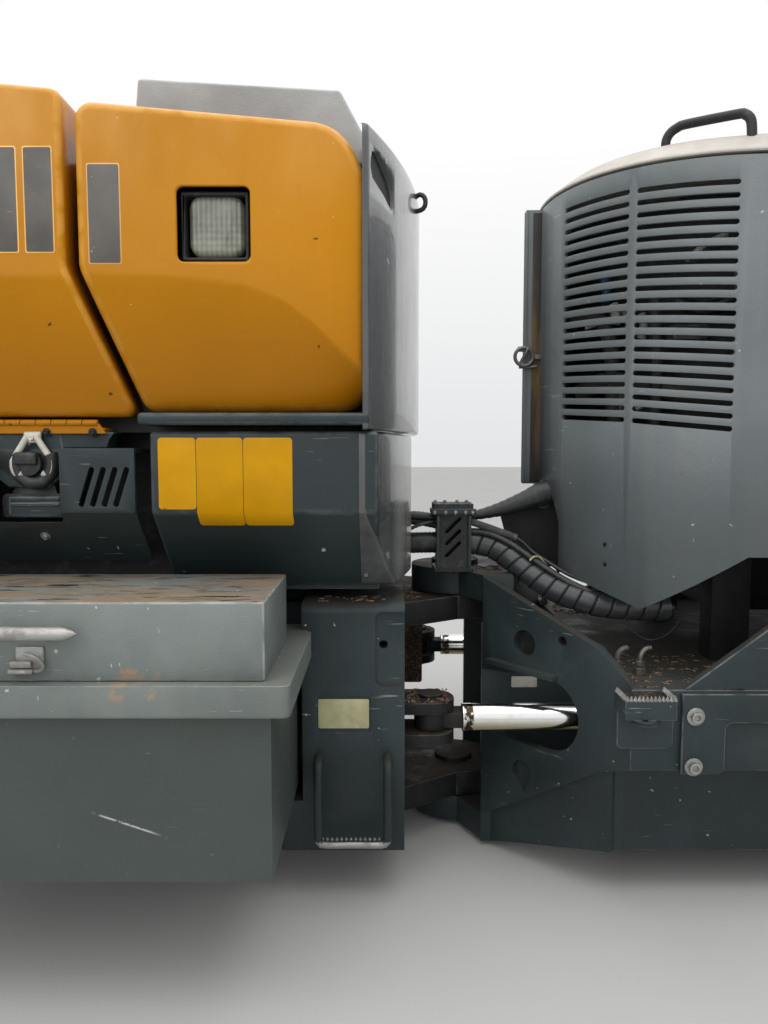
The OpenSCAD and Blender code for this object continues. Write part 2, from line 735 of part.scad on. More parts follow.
handle_path = [[385, -284, foot_z(385, handle_r)], [385, -284, 1404], [388, -286, 1414],
    [396, -292, 1423], [408, -302, 1427], [492, -374, 1411], [503, -383, 1406], [512, -388, 1396],
    [515, -389, 1384], [515, -389, crown]];
module roof_handles() color(grey) at_hinge() both_sides()
    tube(handle_path, handle_r, 12, [0.75, -0.65, 0.1]);

// Outline of a door, seen from its side
door_top = roof_low - door_gap;
door_edge = [[0, 702], [200, 702], [216, 665], [222, 617], [222, 514], [338, 466], [500, 585],
    [2000, 585], [2000, door_top], [crease_x, door_top],
    [0, door_top + crease_x * tan(hood_tilt)]];

// A row of louvres: where each group lies on the nose, its width, tilt and height
louvre_groups = [[28.7, 184, 3.6, 1289], [52.9, 188, 6.2, 1271]];
module louvres() for (g = louvre_groups, i = [0:louvre_rows - 1])
    translate([hood_x, 0, g[3] - i * louvre_pitch]) rotate([0, 0, 180 + g[0]])
        translate([hood_r - 44, 0, 0]) rotate([-g[2], 0, 0]) {
            block_xyz(0, 60, louvre_h / 2 - g[1] / 2, g[1] / 2 - louvre_h / 2,
                -louvre_h / 2, louvre_h / 2);
            for (y = [louvre_h / 2 - g[1] / 2, g[1] / 2 - louvre_h / 2])
                translate([0, y, 0]) rotate([0, 90, 0]) cylinder(h = 60, r = louvre_h / 2);
        }

seam_top = door_top + (crease_x - hood_x + hood_r) * tan(hood_tilt);
module hood_door() color(dark) at_hinge() {
    difference() {
        intersection() {
            linear_extrude(2 * hood_top) difference() {
                hood_plan(0);
                hood_plan(hood_wall);
                translate([0, -3]) square([2000, 1000]);
                translate([door_hinge - 6, -600]) square([100, 600]);
            }
            slab_y(-hood_r, 10) polygon(door_edge);
        }
        louvres();
    }
    block_xyz(hood_x - hood_r - 36, hood_x - hood_r + 6, -9, -3, 702, seam_top);
}

module hood_door_left() hood_door();
module hood_door_right() mirror([0, 1, 0]) hood_door();

module door_latch() color(steel) at_hinge()
    block_xyz(hood_x - hood_r - 52, hood_x - hood_r - 18, -24, -9, 1040, 1080);

// A tube along a list of points, with rings of n points; side is a direction it never takes
function along(p, i) = let (a = p[max(i - 1, 0)], b = p[min(i + 1, len(p) - 1)]) (b - a) / norm(b - a);
function ring(p, i, r, n, side) = let (t = along(p, i), s = cross(side, t) / norm(cross(side, t)),
    u = cross(t, s)) [for (k = [0:n - 1]) p[i] + r * (cos(360 * k / n) * s + sin(360 * k / n) * u)];
module tube(p, r, n, side = [0, 0, 1]) polyhedron(
    points = [for (i = [0:len(p) - 1]) each ring(p, i, r, n, side)],
    faces = concat([[for (k = [0:n - 1]) k]],
        [for (i = [0:len(p) - 2], k = [0:n - 1]) [i * n + k, (i + 1) * n + k,
            (i + 1) * n + (k + 1) % n, i * n + (k + 1) % n]],
        [[for (k = [n - 1:-1:0]) (len(p) - 1) * n + k]]));

module main_hose_cab() color(black) at_hinge()
    tube([[-180, -100, 566], [-160, -100, 566], [-143, -100, 566]], 28, 10);

module main_hose() color(black) at_hinge()
    tube([[22, -104, 550], [28, -104, 550], [60, -112, 548], [95, -130, 545], [135, -158, 530], [178, -188, 502],
        [225, -212, 476], [280, -232, 460], [340, -240, 452], [400, -240, 452],
        [430, -240, 452]], 28, 10);

module upper_hose() color(black) at_hinge()
    tube([[22, -94, 605], [28, -94, 605], [70, -88, 610], [110, -74, 622], [160, -64, 640],
        [220, -60, 656], [320, -60, 666], [425, -60, 668], [430, -60, 668]], 22, 10);

cab_frame();
hinge_block();
cab_ears();
rod_lugs();
rod_pins();
block_steps();
deck_frame();
toolbox_left();
toolbox_right();
toolbox_lid_left();
toolbox_lid_right();
lid_handle_left();
lid_handle_right();
tank_body();
lower_housing();
lower_panels();
rear_housing();
deck_cover();
main_cover_left();
main_cover_right();
cab_cover_left();
cab_cover_right();
cover_hinges();
lamp_boxes();
lamp_lenses();
cab_mounts();
engine_frame();
nose();
gussets();
hinge_pins();
cylinder_pins();
side_steps();
side_plates();
rail_flanges();
hose_tower();
hose_fittings();
barrel_left();
barrel_right();
rod_left();
rod_right();
engine_block();
hood_frame();
door_hinges();
hood_roof();
roof_handles();
hood_door_left();
hood_door_right();
door_latch();
main_hose_cab();
main_hose();
upper_hose();
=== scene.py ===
"""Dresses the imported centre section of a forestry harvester: the steering waist
with the ends of both frames, their covers, toolboxes and louvred engine hood."""

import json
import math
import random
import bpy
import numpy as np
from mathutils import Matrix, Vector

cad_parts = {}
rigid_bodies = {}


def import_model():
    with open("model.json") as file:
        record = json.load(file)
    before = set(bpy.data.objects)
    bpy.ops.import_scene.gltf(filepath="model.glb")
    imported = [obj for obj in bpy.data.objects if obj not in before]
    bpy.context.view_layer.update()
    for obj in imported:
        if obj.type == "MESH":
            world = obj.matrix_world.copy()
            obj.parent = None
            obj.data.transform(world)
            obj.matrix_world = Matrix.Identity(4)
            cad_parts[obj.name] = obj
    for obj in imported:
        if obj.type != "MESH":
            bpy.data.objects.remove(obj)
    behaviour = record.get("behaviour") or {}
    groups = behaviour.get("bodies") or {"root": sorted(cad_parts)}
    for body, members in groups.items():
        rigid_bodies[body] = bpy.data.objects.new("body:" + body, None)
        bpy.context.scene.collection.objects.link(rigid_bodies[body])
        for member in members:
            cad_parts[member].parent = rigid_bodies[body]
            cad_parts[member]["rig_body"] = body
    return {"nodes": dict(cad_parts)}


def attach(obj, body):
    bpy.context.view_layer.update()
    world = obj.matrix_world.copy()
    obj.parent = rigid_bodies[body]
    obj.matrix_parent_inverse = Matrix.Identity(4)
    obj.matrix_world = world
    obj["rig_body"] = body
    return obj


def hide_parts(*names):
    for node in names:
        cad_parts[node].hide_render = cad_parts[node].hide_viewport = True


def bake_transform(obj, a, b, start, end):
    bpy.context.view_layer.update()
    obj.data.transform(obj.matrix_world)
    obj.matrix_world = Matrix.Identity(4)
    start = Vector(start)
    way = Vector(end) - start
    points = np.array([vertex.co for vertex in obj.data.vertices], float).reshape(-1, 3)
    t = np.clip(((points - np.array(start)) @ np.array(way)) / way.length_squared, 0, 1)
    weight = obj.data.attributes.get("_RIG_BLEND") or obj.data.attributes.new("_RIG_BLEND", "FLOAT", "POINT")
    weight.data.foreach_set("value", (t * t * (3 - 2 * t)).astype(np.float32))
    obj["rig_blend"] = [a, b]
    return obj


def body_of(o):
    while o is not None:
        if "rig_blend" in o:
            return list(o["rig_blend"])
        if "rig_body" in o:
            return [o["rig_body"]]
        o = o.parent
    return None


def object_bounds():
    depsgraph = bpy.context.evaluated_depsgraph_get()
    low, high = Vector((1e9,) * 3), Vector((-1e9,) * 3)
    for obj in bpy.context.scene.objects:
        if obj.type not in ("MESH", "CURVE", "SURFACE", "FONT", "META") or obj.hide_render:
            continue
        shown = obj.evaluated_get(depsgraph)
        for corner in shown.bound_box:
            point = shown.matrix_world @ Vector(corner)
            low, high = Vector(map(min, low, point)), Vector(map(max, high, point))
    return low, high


bl_info = {
    "name": "Harvester centre section",
    "version": (1, 0, 0),
    "blender": (4, 5, 0),
    "location": "View3D > Sidebar > Harvester",
    "description": "Finishes the articulated centre section of a forestry harvester",
    "category": "Object",
}

from contextlib import contextmanager

import bpy
import numpy as np
from mathutils import Matrix, Vector

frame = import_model()
cad = frame["nodes"]
cad_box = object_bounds()
SIDES = (("left", 1), ("right", -1))

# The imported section's own sizes that pieces are fitted to, in millimetres

AXIS_X = 1350
GROUND_Z = 10
COVER_FACE = -550
PANEL_FACE = -530
PANEL_FOLD = 674
PANEL_SLOPE = 150 / 152
REAR_CENTRE = -1520
REAR_RADIUS = 1430
HOOD_CENTRE = 677
HOOD_RADIUS = 480
HOOD_HALF = 450
ROOF_EDGE = 1309
ROOF_RISE_FROM = 505
ROOF_TILT = 0.1157

# Corners nearer than this, in metres, become one: in new pieces and in copies of CAD nodes

SAME_CORNER = 0.00002
SAME_CAD_CORNER = 0.00005


def at(x, y, z):
    """A point given in millimetres from the steering axis, in the frame's metres."""
    return Vector(((x + AXIS_X) / 1000, y / 1000, (z - GROUND_Z) / 1000))


def route(points, sign=1):
    """Several such points, for the left-hand side or mirrored."""
    return [at(x, sign * y, z) for x, y, z in points]


# Sizes and colours a user would change

class SectionSizes(bpy.types.PropertyGroup):
    """Roundings, the hose wrap and the floor"""
    cover_edge: bpy.props.FloatProperty(
        name="Cover edges", description="Rounding of the yellow covers' edges",
        default=0.011, unit="LENGTH")
    box_edge: bpy.props.FloatProperty(
        name="Toolbox edges", description="Rounding of the toolboxes' edges",
        default=0.008, unit="LENGTH")
    frame_edge: bpy.props.FloatProperty(
        name="Frame edges", description="Rounding of the frame plates' edges",
        default=0.003, unit="LENGTH")
    wrap_pitch: bpy.props.FloatProperty(
        name="Wrap pitch", description="Advance of the hose wrap in one turn",
        default=0.032, unit="LENGTH")
    floor_gap: bpy.props.FloatProperty(
        name="Floor gap", description="Gap between the lowest point and the floor",
        default=0.001, unit="LENGTH")


class SectionColours(bpy.types.PropertyGroup):
    """The main paints"""
    cover: bpy.props.FloatVectorProperty(
        name="Covers", description="Paint of the yellow covers",
        default=(0.5, 0.2, 0.0), subtype="COLOR")
    frame: bpy.props.FloatVectorProperty(
        name="Frame", description="Paint of the frame and the hinge",
        default=(0.026, 0.039, 0.042), subtype="COLOR")
    toolbox: bpy.props.FloatVectorProperty(
        name="Toolboxes", description="Paint of the toolboxes",
        default=(0.175, 0.2, 0.19), subtype="COLOR")
    hood: bpy.props.FloatVectorProperty(
        name="Hood", description="Paint of the hood's doors",
        default=(0.15, 0.172, 0.178), subtype="COLOR")
    roof: bpy.props.FloatVectorProperty(
        name="Roof", description="Paint of the hood's roof",
        default=(0.46, 0.43, 0.39), subtype="COLOR")


# Shader maths

class Value:
    """A shader socket that adds Math nodes when it is calculated with."""

    def __init__(self, finish, socket):
        self.finish = finish
        self.socket = socket

    def maths(self, operation, first, second):
        return self.finish.node("ShaderNodeMath", {"operation": operation}, {0: first, 1: second})

    def __add__(self, other):
        return self.maths("ADD", self, other)

    def __radd__(self, other):
        return self.maths("ADD", other, self)

    def __sub__(self, other):
        return self.maths("SUBTRACT", self, other)

    def __rsub__(self, other):
        return self.maths("SUBTRACT", other, self)

    def __mul__(self, other):
        return self.maths("MULTIPLY", self, other)

    def __rmul__(self, other):
        return self.maths("MULTIPLY", other, self)


class Finish:
    """A procedural material, with the sockets that its pattern is worked out from."""

    def __init__(self, name, rough=0.5, metal=0.0, coat=0.0, shine=0.4):
        self.material = bpy.data.materials.new(name)
        self.material.use_nodes = True
        self.tree = self.material.node_tree
        self.shader = self.tree.nodes["Principled BSDF"]
        self.shader.inputs["Roughness"].default_value = rough
        self.shader.inputs["Metallic"].default_value = metal
        self.shader.inputs["Coat Weight"].default_value = coat
        self.shader.inputs["Specular IOR Level"].default_value = shine
        self.place = self.node("ShaderNodeTexCoord", output="Object")
        self.axes = [self.node("ShaderNodeSeparateXYZ", {}, {0: self.place}, i) for i in range(3)]

    def node(self, kind, settings=None, inputs=None, output=0):
        """Adds a node with its settings and its sockets' values, and gives one output."""
        made = self.tree.nodes.new(kind)
        for name, value in (settings or {}).items():
            setattr(made, name, value)
        for key, value in (inputs or {}).items():
            self.feed(made.inputs[key], value)
        return Value(self, made.outputs[output])

    def feed(self, socket, value):
        if isinstance(value, Value):
            self.tree.links.new(value.socket, socket)
        elif socket.type == "RGBA" and len(value) == 3:
            socket.default_value = (*value, 1)
        else:
            socket.default_value = value

    def set(self, **values):
        """Feeds the shader's own sockets, such as base_color."""
        for name, value in values.items():
            self.feed(self.shader.inputs[name.replace("_", " ").title()], value)
        return self

    def stretched(self, size, stretch):
        scale = tuple(s / size for s in stretch)
        return self.node("ShaderNodeMapping", {}, {"Vector": self.place, "Scale": scale})

    def noise(self, size, detail=3, stretch=(1, 1, 1), rough=0.55):
        return self.node("ShaderNodeTexNoise", {}, {
            "Vector": self.stretched(size, stretch), "Scale": 1, "Detail": detail,
            "Roughness": rough})

    def cells(self, size, stretch=(1, 1, 1), feature="F1", output="Distance"):
        return self.node("ShaderNodeTexVoronoi", {"feature": feature}, {
            "Vector": self.stretched(size, stretch), "Scale": 1}, output)

    def smooth(self, value, low, high):
        """0 below low, 1 above high, and a smooth step between them."""
        return self.node("ShaderNodeMapRange", {"interpolation_type": "SMOOTHSTEP"},
                         {"Value": value, "From Min": low, "From Max": high})

    def mix(self, factor, first, second):
        return self.node("ShaderNodeMix", {"data_type": "RGBA"}, {0: factor, 6: first, 7: second}, 2)

    def up(self):
        """1 where the surface faces up."""
        normal = self.node("ShaderNodeNewGeometry", output="Normal")
        return self.node("ShaderNodeSeparateXYZ", {}, {0: normal}, 2)

    def near(self, low, high, soft):
        """1 inside a box between two points, fading out over soft metres."""
        mask = 1.0
        for axis, a, b in zip(self.axes, low, high):
            mask = self.smooth(axis, a - soft, a) * mask
            mask = (1 - self.smooth(axis, b, b + soft)) * mask
        return mask

    def chips(self, size, share, stretch=(1, 1, 1), width=0.1):
        """Scattered ragged specks: the middles of a share of the cells."""
        shake = self.node("ShaderNodeTexNoise", {}, {
            "Vector": self.stretched(size * 0.4, (1, 1, 1)), "Scale": 1, "Detail": 2}, "Color")
        place = self.node("ShaderNodeVectorMath", {"operation": "ADD"}, {
            0: self.stretched(size, stretch),
            1: self.node("ShaderNodeVectorMath", {"operation": "SCALE"}, {0: shake, 3: 0.45})})
        spots = [self.node("ShaderNodeTexVoronoi", {}, {"Vector": place, "Scale": 1}, output)
                 for output in ("Distance", "Color")]
        which = self.node("ShaderNodeSeparateColor", {}, {0: spots[1]}, 0)
        chosen = self.smooth(which, 1 - share, 1.001 - share)
        return (1 - self.smooth(spots[0], width * 0.7, width)) * chosen

    def scratches(self, size, share, lean=0.6):
        """Short thin lines in one direction, broken up by a coarse noise."""
        line = self.node("ShaderNodeMapping", {}, {
            "Vector": self.place, "Rotation": (0.3, lean, 0.2),
            "Scale": (1 / size, 1 / size, 16 / size)})
        grain = self.node("ShaderNodeTexNoise", {}, {"Vector": line, "Scale": 1, "Detail": 2})
        return self.smooth(grain, 0.72 - share, 0.74 - share) * self.smooth(
            self.noise(size * 4, 2), 0.52, 0.6)

    def bump(self, height, depth, strength=1.0):
        normal = self.node("ShaderNodeBump", {}, {
            "Height": height, "Distance": depth, "Strength": strength}, "Normal")
        return self.set(normal=normal)


def shade(colour, factor):
    """A colour made darker or lighter."""
    return tuple(c * factor for c in colour)


def painted(name, colour, rough=0.42, cloud=0.25, spread=(0.78, 1.2), chip=None, chip_share=0.1,
            chip_colour=(0.45, 0.46, 0.43), scratch=None, streak=0.0, dust=0.0,
            dust_colour=(0.12, 0.1, 0.075), edge=0.0, edge_colour=(0.3, 0.31, 0.3), grain=0.0005,
            coat=0.0, shine=0.4, extra=None):
    """Paint that is clouded, chipped, scratched, streaked, dusty and worn along its edges."""
    f = Finish(name, rough=rough, coat=coat, shine=shine)
    tone = f.mix(f.smooth(f.noise(cloud, 4), 0.3, 0.7), shade(colour, spread[0]),
                 shade(colour, spread[1]))
    gloss = f.noise(cloud * 0.3, 3) * 0.22 + (rough - 0.11)
    if streak:
        runs = f.smooth(f.noise(0.035, 4, (1, 1, 0.07)), 0.45, 0.75)
        tone = f.mix(runs * streak, tone, shade(dust_colour, 1.6))
    if dust:
        lying = f.smooth(f.up(), 0.35, 0.9) * f.smooth(f.noise(0.06, 5), 0.25, 0.62)
        tone = f.mix(lying * dust, tone, dust_colour)
        gloss = lying * (dust * 0.4) + gloss
    if scratch:
        lines = f.scratches(scratch, 0.035) * 0.4
        tone = f.mix(lines, tone, chip_colour)
    if chip:
        specks = f.chips(chip, chip_share) + f.chips(chip * 0.45, chip_share * 0.8, (1, 1, 0.5))
        tone = f.mix(specks * 0.8, tone, chip_colour)
    if edge:
        worn = f.node("ShaderNodeAttribute", {"attribute_name": "edge"}, output="Fac")
        tone = f.mix(worn * f.smooth(f.noise(0.03, 4), 0.3, 0.62) * edge, tone, edge_colour)
    if extra:
        tone = extra(f, tone)
    f.set(base_color=tone, roughness=gloss)
    return f.bump(f.noise(0.0025, 2) + f.noise(0.02, 3) * 1.5, grain)


def yellow_wear_and_painted_light(f, tone):
    """Paler tops, a painted sky reflection over some dust, painted shade low down, dark specks and fine
    rubbed lines on the yellow covers.
    """
    # Painted reflection: the tops are made paler where the sky would reflect, with some dust
    high = f.smooth(f.axes[2], 1.12, 1.36) * f.smooth(f.noise(0.12, 4, (1, 1, 0.4)), 0.25, 0.75)
    tone = f.mix(high * 0.5, tone, (0.74, 0.4, 0.12))
    # Painted shade: the lower face, which leans inwards below the crease, is darkened
    low = 1 - f.smooth(f.axes[2], 0.84, 1.15)
    tone = f.mix(low * 0.55, tone, (0.3, 0.105, 0.0))
    tone = f.mix(f.chips(0.045, 0.22) * 0.85, tone, (0.05, 0.022, 0.004))
    grime = f.smooth(f.noise(0.012, 3, (1, 1, 0.3)), 0.62, 0.8) * 0.12
    return f.mix(grime, tone, (0.25, 0.1, 0.004))


def frame_shades(f, tone):
    """The frame's paint, darker low down in patches."""
    low = 1 - f.smooth(f.axes[2], 0.1, 0.24)
    return f.mix(low * f.smooth(f.noise(0.2, 4), 0.1, 0.6) * 0.6, tone, (0.013, 0.018, 0.017))


def hood_shades(f, tone):
    """The hood's paint, darker towards its seam and low down."""
    near = 1 - f.smooth(f.axes[0], 1.53, 1.58)
    low = 1 - f.smooth(f.axes[2], 0.5, 0.85)
    return f.mix(near * 0.4 + low * 0.45, tone, (0.03, 0.038, 0.041))


def corner_painted_reflection(f, tone):
    """The corner's paint, with a pale painted reflection round the bend."""
    # Painted reflection: a pale band round the bend, broken into vertical streaks
    pale = f.smooth(f.axes[0], 1.19, 1.212) * (1 - f.smooth(f.axes[0], 1.232, 1.248))
    pale = pale * f.smooth(f.noise(0.03, 4, (1, 1, 0.1)), 0.2, 0.5)
    return f.mix(pale * 0.65, tone, (0.33, 0.325, 0.315))


def toolbox_wear_and_painted_shade(f, tone):
    """The brown worn lid, a rubbed corner of the rim, one long scratch on the box, and painted shade on the
    box below the rim.
    """
    # Painted shade: the box below the rim is darkened, as if in the rim's shadow
    low = 1 - f.smooth(f.axes[2], 0.372, 0.386)
    tone = f.mix(low * 0.85, tone, (0.04, 0.052, 0.047))
    lid_top = f.smooth(f.up(), 0.7, 0.95) * f.smooth(f.axes[2], 0.5, 0.53)
    bare = f.smooth(f.noise(0.045, 8, (0.2, 1, 1), 0.7), 0.4, 0.54)
    tone = f.mix(lid_top * bare * 0.9, tone, (0.24, 0.175, 0.115))
    grey = f.smooth(f.noise(0.02, 6, (0.3, 1, 1), 0.7), 0.5, 0.62)
    tone = f.mix(lid_top * grey * 0.8, tone, (0.1, 0.093, 0.083))
    ragged = f.smooth(f.noise(0.024, 6, (0.18, 1, 1), 0.7), 0.59, 0.62)
    tone = f.mix(lid_top * ragged, tone, (0.016, 0.013, 0.011))
    rim = f.near(at(-566, -790, 424), at(-512, -730, 452), 0.012)
    tone = f.mix(rim * f.smooth(f.noise(0.02, 4), 0.46, 0.62) * 0.7, tone, (0.4, 0.24, 0.13))
    place = f.node("ShaderNodeMapping", {}, {"Vector": f.place, "Rotation": (0, -0.33, 0)})
    along = f.node("ShaderNodeSeparateXYZ", {}, {0: place}, 0)
    across = f.node("ShaderNodeSeparateXYZ", {}, {0: place}, 2)
    cut = f.smooth(across, 0.4512, 0.453) * (1 - f.smooth(across, 0.4535, 0.456))
    cut = cut * f.smooth(along, 0.62, 0.65) * (1 - f.smooth(along, 0.71, 0.74))
    return f.mix(cut * f.smooth(f.noise(0.008, 3), 0.35, 0.5), tone, (0.5, 0.5, 0.47))


def metal(name, colour, rough, dirt=0.4, dirt_colour=(0.05, 0.035, 0.022), size=0.03, grain=0.0004):
    """Bare metal under patches of dirt."""
    f = Finish(name, rough=rough, metal=1.0)
    patches = f.smooth(f.noise(size, 5), 0.42, 0.6) * dirt
    tone = f.mix(patches, f.mix(f.noise(size * 3, 3), shade(colour, 0.75), colour), dirt_colour)
    f.set(base_color=tone, roughness=patches * 0.5 + rough, metallic=1 - patches)
    return f.bump(f.noise(0.004, 3) + f.noise(0.0012, 2, (1, 1, 6)), grain)


def plastic(name, colour, rough=0.5, worn=(0.12, 0.12, 0.12), amount=0.3, size=0.02, coat=0.0):
    """Black plastic or rubber with greyed patches."""
    f = Finish(name, rough=rough, coat=coat)
    rubbed = f.smooth(f.noise(size, 5), 0.5, 0.75) * amount
    tone = f.mix(rubbed, f.mix(f.noise(size * 6, 2), shade(colour, 0.7), shade(colour, 1.3)), worn)
    f.set(base_color=tone, roughness=rubbed * 0.3 + rough)
    return f.bump(f.noise(0.003, 3), 0.0004)


def hose_wrap():
    """Black spiral wrap with a satin sheen and dark gaps between its turns."""
    f = Finish("spiral_wrap", rough=0.34, coat=0.2)
    gap = f.node("ShaderNodeAttribute", {"attribute_name": "seam"}, output="Fac")
    grime = f.smooth(f.noise(0.02, 5), 0.5, 0.75) * 0.35
    tone = f.mix(grime, f.mix(f.noise(0.15, 3), (0.03, 0.032, 0.034), (0.055, 0.059, 0.062)),
                 (0.1, 0.09, 0.075))
    # The gaps are painted near-black: partly the black hose showing through, partly painted shade in the
    # grooves
    f.set(base_color=f.mix(gap, tone, (0.004, 0.003, 0.002)), roughness=gap * 0.5 + 0.34)
    return f.bump(f.noise(0.003, 3), 0.0002)


def ribbed_glass():
    """Greenish lamp glass with a grid of fine ribs over a bright bowl."""
    f = Finish("lamp_glass", rough=0.12, coat=0.6)
    rib = f.node("ShaderNodeTexWave", {"bands_direction": "X"}, {
        "Vector": f.place, "Scale": 36, "Distortion": 0.3})
    row = f.node("ShaderNodeTexWave", {"bands_direction": "Z"}, {
        "Vector": f.place, "Scale": 28, "Distortion": 0.2})
    glow = f.smooth(f.noise(0.05, 3), 0.3, 0.7)
    tone = f.mix(glow, (0.1, 0.11, 0.085), (0.22, 0.23, 0.18))
    tone = f.mix(rib * 0.35, tone, (0.36, 0.37, 0.3))
    f.set(base_color=tone, roughness=0.14)
    return f.bump(rib * 0.7 + row * 0.3, 0.002, 0.8)


def dirt_mix():
    """Brown forest dirt with lighter crumbs."""
    f = Finish("forest_dirt", rough=0.95)
    crumbs = f.smooth(f.cells(0.006), 0.2, 0.55)
    tone = f.mix(crumbs, (0.09, 0.055, 0.03), (0.02, 0.014, 0.01))
    f.set(base_color=f.mix(f.smooth(f.noise(0.02, 4), 0.5, 0.7), tone, (0.13, 0.08, 0.045)))
    return f.bump(f.noise(0.006, 4) + crumbs, 0.003)


def seam_line():
    """Rusty yellow streaks on the hood's seam strip."""
    f = Finish("seam_strip", rough=0.6)
    run = f.smooth(f.noise(0.05, 4, (1, 1, 0.12)), 0.42, 0.6)
    tone = f.mix(run * 0.6, (0.02, 0.019, 0.016), (0.22, 0.12, 0.03))
    f.set(base_color=tone)
    return f.bump(f.noise(0.01, 3), 0.0006)


def chrome_bar():
    """Polished rod with a faint oily film, and a painted golden reflection of the ground on its underside.
    """
    f = Finish("chrome", rough=0.07, metal=1.0)
    film = f.smooth(f.noise(0.05, 4), 0.45, 0.8)
    tone = f.mix(film * 0.5, (0.86, 0.87, 0.86), (0.55, 0.5, 0.34))
    # Painted reflection: the rod's underside is tinted golden-brown as if it mirrored the ground
    under = 1 - f.smooth(f.axes[2], 0.206, 0.232)
    tone = f.mix(under * 0.75, tone, (0.42, 0.37, 0.17))
    ring = f.smooth(f.axes[0], 1.341, 1.344) * (1 - f.smooth(f.axes[0], 1.36, 1.364))
    tone = f.mix(ring * f.smooth(f.noise(0.012, 4), 0.4, 0.55), tone, (0.05, 0.03, 0.02))
    f.set(base_color=tone, roughness=film * 0.16 + 0.14)
    return f.bump(f.noise(0.01, 2, (6, 1, 1)), 0.00004)


finishes = {}


def make_finishes(colours):
    """Every finish of the section, by the name its pieces use."""
    dust = (0.16, 0.14, 0.11)
    finishes.update(
        cover=painted("yellow_cover_paint", colours.cover, rough=0.3, cloud=0.3,
                      spread=(0.93, 1.06), chip=0.02, chip_share=0.05,
                      chip_colour=(0.85, 0.5, 0.12), edge=0.5, edge_colour=(0.7, 0.36, 0.07),
                      grain=0.0002, shine=0.2, extra=yellow_wear_and_painted_light),
        # The frame's pale edges are partly worn paint and partly a painted highlight
        frame=painted("frame_paint", colours.frame, rough=0.46, chip=0.028, chip_share=0.1,
                      dust=0.75, dust_colour=(0.05, 0.037, 0.025), streak=0.1, edge=0.75,
                      scratch=0.08, edge_colour=(0.15, 0.16, 0.165), shine=0.3,
                      extra=frame_shades),
        toolbox=painted("toolbox_paint", colours.toolbox, rough=0.4, chip=0.032, chip_share=0.22,
                        chip_colour=(0.5, 0.52, 0.48), scratch=0.05, edge=0.8, streak=0.12,
                        edge_colour=(0.36, 0.38, 0.37), dust=0.3, dust_colour=dust,
                        extra=toolbox_wear_and_painted_shade),
        housing=painted("housing_plastic", (0.024, 0.034, 0.036), rough=0.36, cloud=0.4,
                        chip=0.06, chip_share=0.08, scratch=0.09, dust=0.5, edge=0.5,
                        edge_colour=(0.1, 0.11, 0.115), grain=0.0003, shine=0.35),
        hood=painted("hood_paint", colours.hood, rough=0.4, cloud=0.5, chip=0.03, chip_share=0.08,
                     chip_colour=(0.6, 0.6, 0.57), scratch=0.12, dust=0.3, streak=0.16,
                     edge=0.35, edge_colour=(0.3, 0.31, 0.3), coat=0.1, extra=hood_shades),
        roof=painted("roof_paint", colours.roof, rough=0.45, cloud=0.2, spread=(0.85, 1.1),
                     dust=0.4, dust_colour=(0.33, 0.29, 0.24), streak=0.1, edge=0.3),
        deck=painted("deck_cover_paint", (0.3, 0.305, 0.3), rough=0.5, cloud=0.2, dust=0.4,
                     dust_colour=(0.3, 0.28, 0.25), edge=0.4, edge_colour=(0.5, 0.5, 0.49)),
        # The corner housings' paint, with a painted reflection round the bend
        flank=painted("corner_paint_and_painted_reflection", (0.07, 0.076, 0.08), rough=0.2, cloud=0.25, streak=0.3,
                      dust=0.4, edge=0.5, chip=0.05, chip_share=0.08, coat=0.6,
                      extra=corner_painted_reflection),
        black=plastic("black_plastic", (0.013, 0.014, 0.015), 0.55),
        rubber=plastic("hose_rubber", (0.02, 0.022, 0.023), 0.4, amount=0.3, coat=0.1),
        wrap=hose_wrap(),
        sleeve=plastic("spring_sleeve", (0.07, 0.072, 0.07), 0.4, worn=(0.25, 0.25, 0.23),
                       amount=0.5),
        iron=painted("oily_black_steel", (0.01, 0.011, 0.012), rough=0.5, cloud=0.05, dust=0.9,
                     dust_colour=(0.035, 0.024, 0.016), streak=0.25, edge=0.5, shine=0.3,
                     edge_colour=(0.11, 0.1, 0.095), grain=0.0012),
        engine=painted("engine_grey", (0.07, 0.066, 0.062), rough=0.55, cloud=0.08, dust=0.7,
                       edge=0.6, grain=0.001),
        steel=metal("worn_steel", (0.5, 0.5, 0.48), 0.38),
        dull=metal("dull_steel", (0.2, 0.195, 0.18), 0.42, 0.55),
        chrome=chrome_bar(),
        glass=ribbed_glass(),
        stripe=painted("grey_stripe", (0.105, 0.098, 0.088), rough=0.4, cloud=0.1, scratch=0.02,
                       chip=0.022, chip_share=0.08, chip_colour=(0.75, 0.45, 0.1), grain=0.0001),
        outline=painted("stripe_outline", (0.82, 0.47, 0.16), rough=0.4, grain=0.0001),
        label=painted("blank_label", (0.64, 0.31, 0.0), shine=0.2, rough=0.32, cloud=0.08,
                      spread=(0.9, 1.05), chip=0.03, chip_share=0.1,
                      chip_colour=(0.3, 0.14, 0.01), grain=0.0001),
        plate=painted("blank_plate", (0.5, 0.48, 0.27), rough=0.4, cloud=0.04, spread=(0.8, 1.1),
                      chip=0.012, chip_share=0.12, chip_colour=(0.12, 0.1, 0.05), grain=0.0001),
        bone=painted("pale_lever", (0.5, 0.48, 0.42), rough=0.5, cloud=0.03, edge=0.5,
                     chip=0.02, chip_share=0.2, chip_colour=(0.1, 0.08, 0.06)),
        tie=painted("cable_tie", (0.42, 0.36, 0.22), rough=0.4, cloud=0.02),
        deep_blue=painted("blue_fitting", (0.03, 0.1, 0.22), rough=0.35, cloud=0.03, dust=0.5),
        needles=painted("dry_needles", (0.085, 0.06, 0.042), rough=0.85, cloud=0.01,
                        spread=(0.2, 3.0), shine=0.1),
        dirt=dirt_mix(),
        seam=seam_line(),
    )


# Modelling helpers

